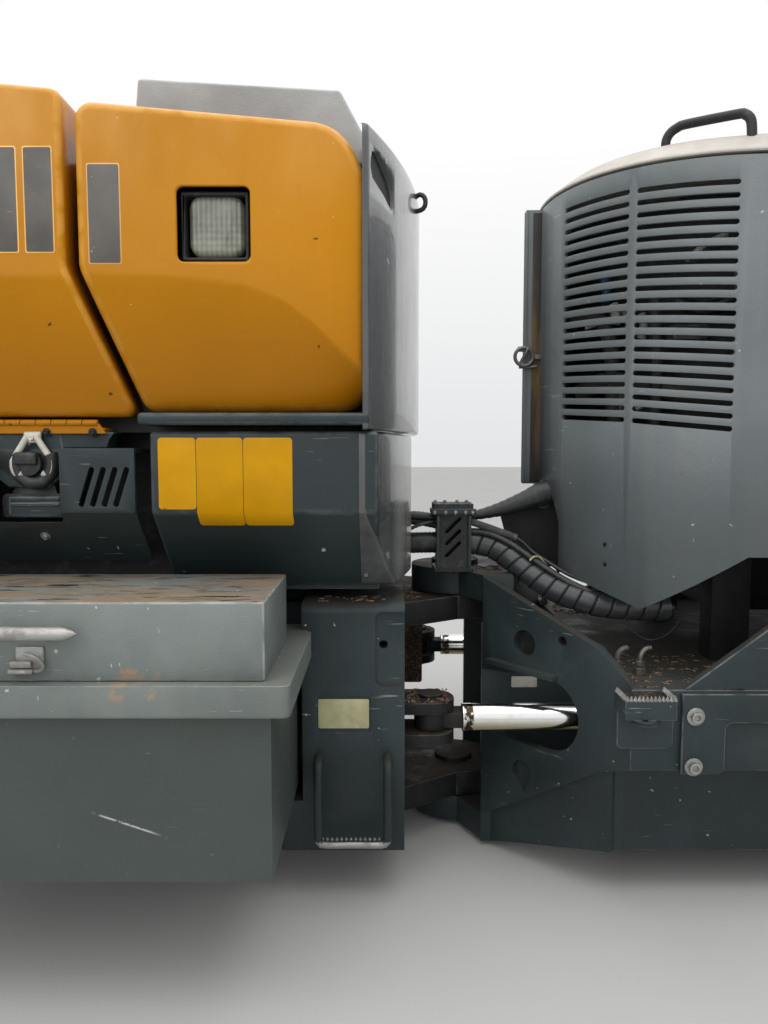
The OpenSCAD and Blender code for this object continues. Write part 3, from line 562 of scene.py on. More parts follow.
def alone(*pieces):
    """Leaves only these pieces selected, the last one active."""
    if bpy.context.object and bpy.context.object.mode != "OBJECT":
        bpy.ops.object.mode_set(mode="OBJECT")
    bpy.ops.object.select_all(action="DESELECT")
    for piece in pieces:
        piece.select_set(True)
    bpy.context.view_layer.objects.active = pieces[-1] if pieces else None


@contextmanager
def editing(piece):
    """Edit mode on one piece, with all of it selected."""
    alone(piece)
    bpy.ops.object.mode_set(mode="EDIT")
    bpy.ops.mesh.select_all(action="SELECT")
    yield
    bpy.ops.object.mode_set(mode="OBJECT")


def settle(piece):
    """Puts a piece's place, turn and scale into its mesh."""
    alone(piece)
    bpy.ops.object.transform_apply(location=True, rotation=True, scale=True)
    return piece


def linked(name, mesh):
    """A new object round a mesh."""
    piece = bpy.data.objects.new(name, mesh)
    bpy.context.collection.objects.link(piece)
    return piece


def surface(name, corners, faces):
    """A new object from corners and faces, turned outwards."""
    mesh = bpy.data.meshes.new(name)
    mesh.from_pydata([tuple(corner) for corner in corners], [], faces)
    mesh.update()
    piece = linked(name, mesh)
    recalculate(piece)
    return piece


def smooth_round(piece, angle=35):
    """Shades the rounded places smooth and keeps the sharp edges."""
    alone(piece)
    bpy.ops.object.shade_smooth_by_angle(angle=math.radians(angle))


def recalculate(piece):
    """Merges a piece's doubled corners and turns its faces outwards."""
    with editing(piece):
        bpy.ops.mesh.remove_doubles(threshold=SAME_CORNER)
        bpy.ops.mesh.normals_make_consistent(inside=False)


def modify(piece, kind, **settings):
    """Applies one modifier with its settings."""
    alone(piece)
    modifier = piece.modifiers.new(kind.lower(), kind)
    for name, value in settings.items():
        setattr(modifier, name, value)
    bpy.ops.object.modifier_apply(modifier=modifier.name)


def mark(piece, name, values):
    """Keeps a number at each corner of a piece, for its finish to read."""
    piece.data.attributes.new(name, "FLOAT", "POINT").data.foreach_set("value", values)


def round_edges(piece, width, angle=30, segments=3):
    """Rounds the sharp edges, and marks the middles of the new faces as worn."""
    mesh = piece.data
    mesh.materials.clear()
    for _ in range(2):
        mesh.materials.append(None)
    for face in mesh.polygons:
        face.material_index = 0
    modify(piece, "BEVEL", width=width, segments=segments, limit_method="ANGLE",
           angle_limit=math.radians(angle), material=1, miter_outer="MITER_ARC")
    mesh = piece.data
    plain = set()
    for face in mesh.polygons:
        if face.material_index == 0:
            plain.update(face.vertices)
        face.material_index = 0
    mark(piece, "edge", [0.0 if i in plain else 1.0 for i in range(len(mesh.vertices))])
    mesh.materials.clear()


def dress(piece, finish, body=None):
    """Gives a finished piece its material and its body."""
    piece.data.materials.clear()
    piece.data.materials.append(finishes[finish].material)
    if body:
        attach(piece, body)
    return piece


def dress_side(piece, sign, finish, body):
    """Dresses a piece made on the left, after it is turned to its own side."""
    return dress(turn_side(piece, sign), finish, body)


def rounded_copy(node, finish, width, angle=30, segments=3):
    """A merged copy of a CAD node with rounded edges, which stands for the node."""
    source = cad[node]
    piece = linked(node + "_finished", source.data.copy())
    with editing(piece):
        bpy.ops.mesh.remove_doubles(threshold=SAME_CAD_CORNER)
        bpy.ops.mesh.dissolve_limited(angle_limit=math.radians(0.6))
    round_edges(piece, width, angle, segments)
    smooth_round(piece)
    dress(piece, finish, body_of(source)[0])
    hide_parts(node)
    return piece


def repaint(node, finish):
    """A CAD node keeps its shape and gets a finish."""
    mesh = cad[node].data
    mesh.materials.clear()
    mesh.materials.append(finishes[finish].material)


def joined(name, pieces):
    """Several pieces made into one object."""
    alone(*pieces)
    if len(pieces) > 1:
        bpy.ops.object.join()
    piece = bpy.context.object
    piece.name = name
    return piece


def copies(model, name, places):
    """Copies of a model at places, each a matrix, joined into one object. The model goes."""
    made = []
    for matrix in places:
        piece = linked(name, model.data.copy())
        piece.data.transform(matrix)
        made.append(piece)
    bpy.data.objects.remove(model)
    return joined(name, made)


def facing(point, direction):
    """A matrix that puts a model's -Y side towards a direction, at a point."""
    side = Vector((0, -1, 0)).rotation_difference(Vector(direction).normalized())
    return Matrix.Translation(point) @ side.to_matrix().to_4x4()


def context_piece(name):
    """The piece that an operator has just made, under its name."""
    piece = bpy.context.object
    piece.name = name
    return piece


def cylinder(name, sides, radius, depth, location=(0, 0, 0), rotation=(0, 0, 0)):
    """A cylinder to be shaped further."""
    alone()
    bpy.ops.mesh.primitive_cylinder_add(vertices=sides, radius=radius, depth=depth,
                                        location=location, rotation=rotation)
    return settle(context_piece(name))


def rounded_plate(name, low, high, thick, radius, edge=0.001):
    """A plate in X and Z between two corners at one Y, with round corners, rising to -Y."""
    middle = (Vector(low) + Vector(high)) / 2
    alone()
    bpy.ops.mesh.primitive_plane_add(size=1, location=middle, rotation=(math.pi / 2, 0, 0))
    piece = context_piece(name)
    piece.scale = (high[0] - low[0], high[2] - low[2], 1)
    with editing(settle(piece)):
        bpy.ops.mesh.bevel(affect="VERTICES", offset=radius, segments=5)
        bpy.ops.mesh.extrude_region_move(TRANSFORM_OT_translate={"value": (0, -thick, 0)})
        bpy.ops.mesh.select_all(action="SELECT")
        bpy.ops.mesh.normals_make_consistent(inside=False)
    round_edges(piece, edge, 50, 2)
    smooth_round(piece)
    return piece


def turn_side(piece, sign):
    """Mirrors a piece made on the left when its own side is the right."""
    if sign < 0:
        piece.data.transform(Matrix.Scale(-1, 4, (0, 1, 0)))
        piece.data.flip_normals()
    return piece


def fold_under(piece, line, slope):
    """Bends a flat plate inwards below a line."""
    with editing(piece):
        bpy.ops.mesh.bisect(plane_co=line, plane_no=(0, 0, 1))
    for corner in piece.data.vertices:
        if corner.co.z < line.z:
            corner.co.y += (line.z - corner.co.z) * slope
    return piece


def spline(points, step):
    """Points a step apart on a smooth curve through the given ones."""
    p = np.array([list(q) for q in points], float)
    p = np.vstack([2 * p[0] - p[1], p, 2 * p[-1] - p[-2]])
    fine = []
    for a, b, c, d in zip(p, p[1:], p[2:], p[3:]):
        for t in np.linspace(0, 1, 40, endpoint=False):
            fine.append(0.5 * (2 * b + (c - a) * t + (2 * a - 5 * b + 4 * c - d) * t * t
                               + (3 * b - a - 3 * c + d) * t ** 3))
    fine.append(p[-2])
    fine = np.array(fine)
    run = np.concatenate([[0], np.cumsum(np.linalg.norm(np.diff(fine, axis=0), axis=1))])
    even = np.linspace(0, run[-1], max(2, int(run[-1] / step) + 1))
    return np.column_stack([np.interp(even, run, fine[:, i]) for i in range(3)]), even


def swept(name, points, radius, sides=16, step=0.006, form=None):
    """A tube along a smooth line. form(run, angle) gives what is added to the radius."""
    line, run = spline(points, step)
    tangent = np.gradient(line, axis=0)
    tangent /= np.linalg.norm(tangent, axis=1)[:, None]
    side = np.cross(tangent[0], (0.1, 0.2, 1.0))
    side /= np.linalg.norm(side)
    rings = []
    for place, ahead, far in zip(line, tangent, run):
        side = side - ahead * np.dot(side, ahead)
        side /= np.linalg.norm(side)
        other = np.cross(ahead, side)
        ring = []
        for turn in np.arange(sides) * 2 * math.pi / sides:
            reach = radius(far / run[-1]) if callable(radius) else radius
            if form:
                reach += form(far, turn)
            ring.append(place + reach * (math.cos(turn) * side + math.sin(turn) * other))
        rings.append(ring)
    return skin(name, rings)


def skin(name, rings, cap=(True, True), angle=40):
    """A surface over closed rings with the same number of points, closed at its ends."""
    count = len(rings[0])
    faces = []
    for start in range(0, (len(rings) - 1) * count, count):
        for k in range(count):
            n = (k + 1) % count
            faces.append((start + k, start + n, start + count + n, start + count + k))
    if cap[0]:
        faces.append(tuple(range(count))[::-1])
    if cap[1]:
        last = (len(rings) - 1) * count
        faces.append(tuple(range(last, last + count)))
    piece = surface(name, [corner for ring in rings for corner in ring], faces)
    smooth_round(piece, angle)
    return piece


def slab(name, outline, front, back, angle=40):
    """A block whose outline lies in X and Z, between two places in Y."""
    return skin(name, [[at(x, y, z) for x, z in outline] for y in (front, back)], angle=angle)


def column(name, outline, low, high):
    """A block whose outline lies in X and Y, between two heights."""
    return skin(name, [[at(x, y, z) for x, y in outline] for z in (low, high)])


def rounded_outline(corners, radius, count):
    """Points evenly spaced along an outline, whose corners may each give their own radius."""
    dense = []
    for i, corner in enumerate(corners):
        p = np.array(corner[:2], float)
        r = corner[2] if len(corner) > 2 else radius
        a = np.array(corners[i - 1][:2], float) - p
        b = np.array(corners[(i + 1) % len(corners)][:2], float) - p
        a, b = a / np.linalg.norm(a), b / np.linalg.norm(b)
        half = math.acos(max(-1, min(1, float(np.dot(a, b))))) / 2
        reach = r / math.tan(half)
        centre = p + (a + b) / np.linalg.norm(a + b) * r / math.sin(half)
        start, end = p + a * reach, p + b * reach
        for step in np.linspace(0, 1, 12):
            arc = (start + (end - start) * step) - centre
            dense.append(centre + arc / np.linalg.norm(arc) * r)
    dense = np.array(dense + dense[:1])
    run = np.concatenate([[0], np.cumsum(np.linalg.norm(np.diff(dense, axis=0), axis=1))])
    even = np.linspace(0, run[-1], count, endpoint=False)
    return np.column_stack([np.interp(even, run, dense[:, i]) for i in range(2)])


def panel_shell(name, outline, middle, hole, depth, back, rounding, wall):
    """A moulded panel, whose outline and hole lie in X and Z. depth(x, z) gives its face's Y.

    Rings run from its back edge, over the rounding, to the hole or to the middle."""
    count, steps = 288, 44
    rim = rounded_outline(outline, 14, count)
    ahead = np.roll(rim, -1, axis=0) - np.roll(rim, 1, axis=0)
    inward = np.column_stack([-ahead[:, 1], ahead[:, 0]])
    inward /= np.linalg.norm(inward, axis=1)[:, None]
    if np.sum((np.array(middle) - rim) * inward) < 0:
        inward = -inward
    front = [depth(x, z) for x, z in rim]
    rings = [[at(x, back, z) for x, z in rim],
             [at(x, y + rounding * 1.5, z) for (x, z), y in zip(rim, front)]]
    for turn in np.linspace(0, 90, 7):
        over = rounding * (1 - math.cos(math.radians(turn)))
        behind = rounding * (1 - math.sin(math.radians(turn)))
        flat = rim + inward * over
        rings.append([at(x, depth(x, z) + behind, z) for x, z in flat])
    if hole is None:
        inner = np.tile(np.array(middle, float), (count, 1))
    else:
        way = flat - np.array(middle)
        angle = np.arctan2(way[:, 1], way[:, 0])
        edge = rounded_outline(hole, 12, 720) - np.array(middle)
        turn = np.arctan2(edge[:, 1], edge[:, 0])
        order = np.argsort(turn)
        reach = np.interp(angle, turn[order], np.linalg.norm(edge, axis=1)[order],
                          period=2 * math.pi)
        inner = np.array(middle) + np.column_stack([np.cos(angle), np.sin(angle)]) * reach[:, None]
    for i in range(1, steps + 1):
        share = i / steps if hole else min(i / steps, 0.99)
        ring = flat + (inner - flat) * share
        rings.append([at(x, depth(x, z), z) for x, z in ring])
    piece = skin(name, rings, (False, hole is None), 45)
    if piece.data.polygons[count * 9].normal.y > 0:
        piece.data.flip_normals()
    modify(piece, "SOLIDIFY", thickness=wall, offset=-1)
    worn = range(count * 3, count * 8)
    mark(piece, "edge", [1.0 if i in worn else 0.0 for i in range(len(piece.data.vertices))])
    return piece


def mark_seam(piece, points, radius):
    """Marks the corners that lie in a wrap's seam, nearer the hose's line than a radius."""
    line, _ = spline(points, 0.004)
    corners = np.array([corner.co for corner in piece.data.vertices])
    apart = np.full(len(corners), 9.0)
    for place in line:
        apart = np.minimum(apart, np.linalg.norm(corners - place, axis=1))
    mark(piece, "seam", np.clip((radius - apart) / 0.0012, 0, 1).astype(np.float32))


def bolt_model(radius, hexagon=True):
    """A washer with a hexagon head or a socket head, at the origin, facing -Y."""
    upright = (math.pi / 2, 0, 0)
    washer = cylinder("washer", 24, radius, radius * 0.2, (0, -radius * 0.1, 0), upright)
    head = cylinder("head", 6 if hexagon else 20, radius * 0.62, radius * 0.55,
                    (0, -radius * 0.46, 0), upright)
    with editing(head):
        bpy.ops.mesh.select_all(action="DESELECT")
    for face in head.data.polygons:
        face.select = face.normal.y < -0.9
    bpy.ops.object.mode_set(mode="EDIT")
    bpy.ops.mesh.select_mode(type="FACE")
    bpy.ops.mesh.inset(thickness=radius * 0.28, depth=0)
    bpy.ops.mesh.extrude_region_move(
        TRANSFORM_OT_translate={"value": (0, radius * (0.06 if hexagon else 0.3), 0)})
    bpy.ops.object.mode_set(mode="OBJECT")
    piece = joined("bolt", [washer, head])
    recalculate(piece)
    round_edges(piece, radius * 0.05, 40, 2)
    smooth_round(piece)
    return piece


def rounded_box(name, low, high, edge, segments=3):
    """A block between two corners with rounded edges."""
    low, high = Vector(low), Vector(high)
    alone()
    bpy.ops.mesh.primitive_cube_add(size=1, location=(low + high) / 2)
    piece = context_piece(name)
    piece.scale = high - low
    settle(piece)
    round_edges(piece, edge, 30, segments)
    smooth_round(piece)
    return piece


def nudge(piece, axis, start, amount):
    """Moves the corners of a piece that lie past a place along an axis."""
    for corner in piece.data.vertices:
        if corner.co[axis] > start:
            corner.co[axis] += amount


def two_tone(piece, finish, chosen):
    """Gives the faces that are chosen by their middle a second finish."""
    piece.data.materials.append(finishes[finish].material)
    last = len(piece.data.materials) - 1
    for face in piece.data.polygons:
        if chosen(face.center):
            face.material_index = last
    return piece


# The section's pieces

class MakeFinishes(bpy.types.Operator):
    """Makes the paints, metals, plastics and glass of the section"""
    bl_idname = "section.finishes"
    bl_label = "Finishes"

    def execute(self, context):
        make_finishes(context.scene.section_colours)
        return {"FINISHED"}


class BuildFrames(bpy.types.Operator):
    """Finishes both frame ends, the hinge block, the ears and the gussets"""
    bl_idname = "section.frames"
    bl_label = "Frames and hinge"

    def execute(self, context):
        edge = context.scene.section_sizes.frame_edge
        for node in ("cab_frame", "hinge_block", "deck_frame", "engine_frame", "nose", "gussets",
                     "side_plates", "rail_flanges"):
            rounded_copy(node, "frame", edge * (2 if node == "hinge_block" else 1))
        self.trays(edge)
        for node in ("cab_ears", "rod_lugs"):
            rounded_copy(node, "iron", edge)
        web = rounded_box("ear_web", at(-133, -46, 226), at(-80, 46, 404), 0.006)
        dress(web, "dirt", "cab_side")
        for node in ("hinge_pins", "cylinder_pins", "rod_pins"):
            rounded_copy(node, "iron", 0.0015)
        return {"FINISHED"}

    def trays(self, edge):
        """The step trays, made narrower above their lugs and drawn further out."""
        narrower, further_out, lip = 0.82, 0.027, 0.48
        foot = at(256, 0, 303)
        for corner in rounded_copy("side_steps", "frame", edge).data.vertices:
            if corner.co.z > foot.z:
                corner.co.x = foot.x + narrower * (corner.co.x - at(262, 0, 0).x)
                if abs(corner.co.y) > lip:
                    corner.co.y += math.copysign(further_out, corner.co.y)


class BuildGussets(bpy.types.Operator):
    """Closes the flared gussets' small holes with black discs of painted shade, and fills the frame's
    corners
    """
    bl_idname = "section.gussets"
    bl_label = "Gusset holes"

    def execute(self, context):
        root_x, root_y = 44, -200
        lean = math.atan2(250, 246)

        def place(along, z, deep):
            """A point along the left-hand cheek from its root, and deep behind its face."""
            return at(root_x + along * math.cos(lean) + deep * math.sin(lean),
                      root_y - along * math.sin(lean) + deep * math.cos(lean), z)
        for side, sign in SIDES:
            # Black discs behind the holes: painted shade where the frame's inside would be dark
            backs = []
            for along, z, radius in ((109, 382, 34), (200, 402, 15)):
                backs.append(skin("back", [
                    [place(along + radius * math.cos(turn), z + radius * math.sin(turn), deep)
                     for turn in np.linspace(0, 2 * math.pi, 24, endpoint=False)]
                    for deep in (20.4, 23)]))
            fillet = column("frame_fillet_" + side, [
                (244, -372), (263, -396), (282, -401), (296, -401), (296, -372)], 2, 176)
            dress_side(fillet, sign, "frame", "engine_side")
            back = joined("gusset_shade_discs_" + side, backs)
            dress_side(back, sign, "black", "engine_side")
        return {"FINISHED"}


class BuildSteps(bpy.types.Operator):
    """Bends the U-shaped steps on the hinge block out of round bar"""
    bl_idname = "section.steps"
    bl_label = "U-shaped steps"

    def execute(self, context):
        made = []
        for side, sign in SIDES:
            path = [(-296, -399, 189), (-296, -428, 189), (-296, -438, 184), (-296, -440, 172),
                    (-296, -440, 52), (-294, -440, 40), (-284, -440, 34), (-230, -440, 34),
                    (-176, -440, 34), (-166, -440, 40), (-164, -440, 52), (-164, -440, 172),
                    (-164, -438, 184), (-164, -428, 189), (-164, -399, 189)]
            made.append(swept("u_step_" + side, route(path, sign), 0.0085, 14))
        steps = dress(joined("u_steps", made), "frame", "cab_side")
        two_tone(steps, "steel", lambda middle: middle.z < at(0, 0, 40).z)
        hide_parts("block_steps")
        self.teeth()
        return {"FINISHED"}

    def tooth(self, radius, tip, height):
        """One four-sided tooth, to be copied."""
        alone()
        bpy.ops.mesh.primitive_cone_add(vertices=4, radius1=radius, radius2=tip, depth=height)
        return settle(context_piece("tooth"))

    def teeth(self):
        """Serrated teeth along the lips of the step trays and on the U-shaped steps."""
        places = []
        for side, sign in SIDES:
            rows = [(260 + 7.1 * i, -520) for i in range(13)]
            rows += [(x, -513 + 8 * i) for x in (258.5, 345.5) for i in range(7)]
            places += [Matrix.Translation(at(x, sign * y, 343)) for x, y in rows]
            soil = rounded_box("step_soil_" + side, at(261, -517, 309), at(343, -452, 335), 0.004)
            dress_side(soil, sign, "dirt", "engine_side")
        teeth = copies(self.tooth(0.0046, 0.0008, 0.009), "step_teeth", places)
        dress(teeth, "steel", "engine_side")
        places = [Matrix.Translation(at(-288 + 9 * i, sign * -440, 44)) for i in range(14)
                  for _, sign in SIDES]
        teeth = copies(self.tooth(0.0035, 0.001, 0.005), "u_step_teeth", places)
        dress(teeth, "steel", "cab_side")


class BuildToolboxes(bpy.types.Operator):
    """Finishes the toolboxes, their lids and the handles"""
    bl_idname = "section.toolboxes"
    bl_label = "Toolboxes"

    def execute(self, context):
        edge = context.scene.section_sizes.box_edge
        box_longer, lid_longer, lid_higher = 0.014, 0.02, 0.003
        middle = at(-500, 0, 500)
        for side, sign in SIDES:
            box = rounded_copy("toolbox_" + side, "toolbox", edge)
            lid = rounded_copy("toolbox_lid_" + side, "toolbox", edge * 0.6)
            nudge(box, 0, middle.x, box_longer)
            nudge(lid, 0, middle.x, lid_longer)
            nudge(lid, 2, middle.z, lid_higher)
            self.handle(side, sign)
        return {"FINISHED"}

    def handle(self, side, sign):
        """A bar with pointed ends on two feet, and the toggle latch under it."""
        def taper(share):
            tip, full, point = 0.0015, 0.011, 0.06
            return tip + (full - tip) * min(1, min(share, 1 - share) / point) ** 0.6
        parts = [swept("bar", [at(-952 + 56 * i, -757, 517) for i in range(7)], taper, 12)]
        for x in (-930, -672):
            parts.append(rounded_box("foot", at(x, -757, 511), at(x + 24, -728, 523), 0.003))
        bar = joined("lid_handle_bar_" + side, parts)
        body = body_of(cad["lid_handle_" + side])[0]
        dress_side(bar, sign, "steel", body)
        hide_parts("lid_handle_" + side)
        parts = [rounded_box("plate", at(-716, -735, 456), at(-674, -730, 492), 0.002),
                 rounded_box("lever", at(-722, -742, 462), at(-690, -736, 472), 0.002),
                 swept("loop", route([(-700, -742, 484), (-684, -744, 480), (-672, -742, 468),
                                      (-676, -739, 458), (-690, -737, 456)]), 0.0028, 8),
                 swept("pin", route([(-724, -739, 456), (-706, -739, 456), (-688, -739, 456)]),
                       0.0045, 12)]
        dress_side(joined("toggle_latch_" + side, parts), sign, "steel", body)


class BuildHousings(bpy.types.Operator):
    """Finishes the housings, panels and mounts under and beside the covers"""
    bl_idname = "section.housings"
    bl_label = "Housings"

    def execute(self, context):
        repaint("tank_body", "black")
        rounded_copy("lower_housing", "housing", 0.008)
        rounded_copy("lower_panels", "housing", 0.002)
        deck_rim, higher, further_left = at(0, 0, 1380).z, 0.014, 0.012
        for corner in rounded_copy("deck_cover", "deck", 0.006).data.vertices:
            if corner.co.z > deck_rim:
                corner.co.z += higher
                corner.co.x -= further_left
        rounded_copy("cab_mounts", "rubber", 0.003)
        for side, sign in SIDES:
            self.mount(side, sign)
        self.corners()
        return {"FINISHED"}

    def mount(self, side, sign):
        """The cast bracket round a cab mount, with its bolted shackle."""
        outline = [(-868, 742), (-868, 776), (-846, 812), (-742, 812), (-736, 776), (-740, 736),
                   (-766, 716), (-838, 716)]
        cast = slab("cab_bracket_" + side, outline, -486, -430, 20)
        round_edges(cast, 0.004)
        foot = rounded_box("foot", at(-836, -496, 662), at(-732, -470, 702), 0.008)
        ridges = [rounded_box("ridge", at(-830, -500, z), at(-742, -490, z + 7), 0.003)
                  for z in (683, 693)]
        cast = joined("cab_bracket_" + side, [cast, foot] + ridges)
        ring = swept("rubber_ring_" + side, [
            at(-786 + 32 * math.cos(turn), -494, 758 + 34 * math.sin(turn))
            for turn in np.linspace(-3.6, 0.5, 18)], 0.012, 12)
        block = rounded_box("block", at(-816, -512, 756), at(-776, -490, 778), 0.004)
        ring = joined("mount_rubber_" + side, [ring, block])
        legs = []
        for way in (-1, 1):
            path = [(8, 808), (18, 792), (29, 775), (34, 765), (33, 750), (27, 741), (17, 744)]
            legs.append(swept("leg", [at(-787 + way * x, -500, z - 3) for x, z in path], 0.0056, 12))
        legs.append(rounded_box("tab", at(-802, -499, 794), at(-772, -492, 814), 0.003))
        shackle = joined("shackle_" + side, legs)
        bolt = copies(bolt_model(0.0085), "shackle_bolt_" + side,
                      [facing(at(-787, -499, 803), (0, -1, 0))])
        for piece, finish in ((cast, "frame"), (ring, "rubber"), (shackle, "bone"),
                              (bolt, "bone")):
            dress_side(piece, sign, finish, "cab_side")

    def corners(self):
        """The curved corner housings, above and below the covers' lower edge."""
        def lower_side(z):
            """Y of the lower housing's side, which leans in below its fold."""
            return PANEL_FACE + max(0.0, PANEL_FOLD - z) * PANEL_SLOPE
        for side, sign in SIDES:
            upper = skin("rear_housing_" + side, step_in(
                816, 1318, 7, (900, 1000, 1100, 1200, 1290),
                lambda z, inset: corner_ring(-546 + inset, 0, inset, 9, z, -207)), angle=30)
            slot = [(-534, 1250), (-533, 1264), (-528, 1276), (-518, 1283), (-503, 1284),
                    (-474, 1272), (-443, 1257), (-426, 1244), (-420, 1234), (-420, 1219),
                    (-426, 1210), (-438, 1208), (-474, 1221), (-503, 1228), (-526, 1235)]
            front, hole_back, past_face = -199, -200.5, -80
            tool = skin("hole_tool", [[at(x, y, z) for y, z in slot] for x in (front, past_face)])
            modify(upper, "BOOLEAN", operation="DIFFERENCE", object=tool)
            bpy.data.objects.remove(tool)
            # A black plug in the hand hole: painted shade where the housing's inside would be dark
            shade_plug = skin("hand_hole_shade_plug_" + side, [
                [at(hole_back, y, z) for y, z in slot],
                [at(max(hole_back + 0.5, rear_face(y) - 7), y, z) for y, z in slot]])
            dress_side(shade_plug, sign, "black", "cab_side")
            lower = skin("lower_corner_" + side, step_in(
                524, 812, 6, (560, 600, 640, 664, 674, 684, 720, 760),
                lambda z, inset: corner_ring(lower_side(z) + inset - 1.5, -205, 8 + inset, 12, z,
                                             -214)), angle=30)
            for piece in (upper, lower):
                dress_side(piece, sign, "flank", "cab_side")
            if sign > 0:
                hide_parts("rear_housing")
            sill = rounded_box("sill_" + side, at(-588, -547, 824), at(-196, -432, 845), 0.007)
            dress_side(sill, sign, "housing", "cab_side")


def main_depth(x, z):
    """Y of the rear cover's face: it leans in below a curved crease and towards the joint."""
    crease = np.interp(x, [-700, -520, -401, -340, -290, -240, -195],
                       [1066, 1060, 1045, 1022, 985, 935, 900])
    below = max(0.0, crease - z + 9) / max(60.0, crease - 848)
    turn = max(0.0, x + 262) / 62
    return COVER_FACE + 58 * min(below, 1.15) ** 1.08 + 16 * turn ** 2


def cab_depth(x, z):
    """Y of the cab cover's face, which leans in below its crease."""
    return COVER_FACE + 62 * (max(0.0, 1068 - z) / 228) ** 1.04


def rear_face(y, inset=0):
    """X of the curved rear face of the corner housings."""
    return REAR_CENTRE + math.sqrt((REAR_RADIUS - inset) ** 2 - y * y)


def corner_ring(side_y, inner_y, inset, radius, z, front):
    """One level of a corner housing: along its side, round its edge and over its rear face."""
    face = [(rear_face(y, inset), y) for y in np.linspace(side_y + radius, inner_y, 36)]
    start = Vector((rear_face(side_y, inset) - radius * 0.7, side_y))
    corner = Vector((rear_face(side_y + radius * 0.3, inset), side_y))
    end = Vector(face[0])
    bend = [start * (1 - s) ** 2 + corner * (2 * s * (1 - s)) + end * s * s
            for s in np.linspace(0, 1, 8)[:-1]]
    ring = [(front, side_y)] + [tuple(p) for p in bend] + face + [(front, inner_y)]
    return [at(x, y, z) for x, y in ring]


def step_in(low, high, edge, sides, make):
    """Rings between two levels, drawn in at the top and bottom edges."""
    levels = [(low, edge), (low + edge * 0.3, edge * 0.3), (low + edge, 0)]
    levels += [(z, 0) for z in sides]
    levels += [(high - edge, 0), (high - edge * 0.3, edge * 0.3), (high, edge)]
    return [make(z, inset) for z, inset in levels]


class BuildCovers(bpy.types.Operator):
    """Moulds the yellow covers and lays the grey stripes on them"""
    bl_idname = "section.covers"
    bl_label = "Yellow covers"

    def execute(self, context):
        rounding = context.scene.section_sizes.cover_edge * 1000
        lamp = [(-513, 1092, 12), (-391, 1092, 12), (-391, 1214, 12), (-513, 1214, 12)]
        main = [(-680, 1354, 30), (-240, 1316, 90), (-198, 1230, 60), (-198, 848, 48),
                (-590, 848, 30), (-680, 1086, 40)]
        cab = [(-1300, 1424, 18), (-700, 1370, 18), (-700, 1088, 50), (-604, 840, 16),
               (-1300, 840, 16)]
        for side, sign in SIDES:
            for node, outline, middle, hole, depth, back, radius in (
                    ("main_cover_", main, (-452, 1153), lamp, main_depth, -430, rounding * 1.5),
                    ("cab_cover_", cab, (-1000, 1120), None, cab_depth, -435, rounding)):
                piece = panel_shell(node + side + "_moulded", outline, middle, hole, depth, back,
                                    radius, 0.007)
                dress_side(piece, sign, "cover", body_of(cad[node + side])[0])
                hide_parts(node + side)
        self.strip()
        self.stripes()
        return {"FINISHED"}

    def stripes(self):
        """The grey stripes with their pale outlines."""
        thin, rim_thin = 0.0008, 0.0004
        for side, sign in SIDES:
            for name, body, x0, x1, z0, z1 in (
                    ("main", "cab_side", -657, -606, 1090, 1248),
                    ("cab", "cover_" + side, -761, -716, 1108, 1275),
                    ("far", "cover_" + side, -836, -775, 1108, 1275)):
                low, high = at(x0, COVER_FACE, z0), at(x1, COVER_FACE, z1)
                border = Vector((0.002, 0, 0.002))
                rim = rounded_plate("stripe_rim_%s_%s" % (name, side), low - border, high + border,
                                    rim_thin, 0.004, 0.0001)
                stripe = rounded_plate("stripe_%s_%s" % (name, side), low, high, thin, 0.003,
                                       0.0002)
                dress_side(rim, sign, "outline", body)
                dress_side(stripe, sign, "stripe", body)

    def strip(self):
        """The long hinge under each cab cover, with its knuckles and screws."""
        knuckle = cylinder("knuckle", 24, 0.0062, 0.026, rotation=(0, math.pi / 2, 0))
        round_edges(knuckle, 0.0012, 40, 2)
        smooth_round(knuckle)
        first, pitch, count = -1286, 27.2, 23
        places = [Matrix.Translation(at(first + pitch * i, sign * -488, 829))
                  for i in range(count) for _, sign in SIDES]
        strip = copies(knuckle, "hinge_knuckles", places)
        leaves, screws = [], []
        for side, sign in SIDES:
            leaf = slab("leaf", [(-1300, 811), (-1300, 828), (-672, 828), (-660, 811)], -491, -486)
            shelf = rounded_box("shelf", at(-1300, -488, 813), at(-664, -431, 821), 0.0012)
            leaves += [turn_side(leaf, sign), turn_side(shelf, sign)]
            screws += [facing(at(x, sign * -491, 813), (0, -sign, 0))
                       for x in (-764, -683, -930, -1030, -1130, -1230)]
            ledge = slab("ledge_" + side, [(-1300, 786), (-1300, 813), (-648, 813), (-658, 800),
                                           (-662, 786)], -484, -440)
            round_edges(ledge, 0.002)
            dress_side(ledge, sign, "frame", "cab_side")
        strip = joined("hinge_strip", [strip] + leaves)
        dress(strip, "cover", "cab_side")
        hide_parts("cover_hinges")
        dress(copies(bolt_model(0.0075), "hinge_screws", screws), "iron", "cab_side")


class BuildLamps(bpy.types.Operator):
    """Finishes the lamps in the covers"""
    bl_idname = "section.lamps"
    bl_label = "Lamps"

    def execute(self, context):
        rounded_copy("lamp_boxes", "black", 0.003)
        lenses = rounded_copy("lamp_lenses", "glass", 0.01)
        middle = sum(corner.co.z for corner in lenses.data.vertices) / len(lenses.data.vertices)
        nudge(lenses, 2, middle, 0.006)
        return {"FINISHED"}


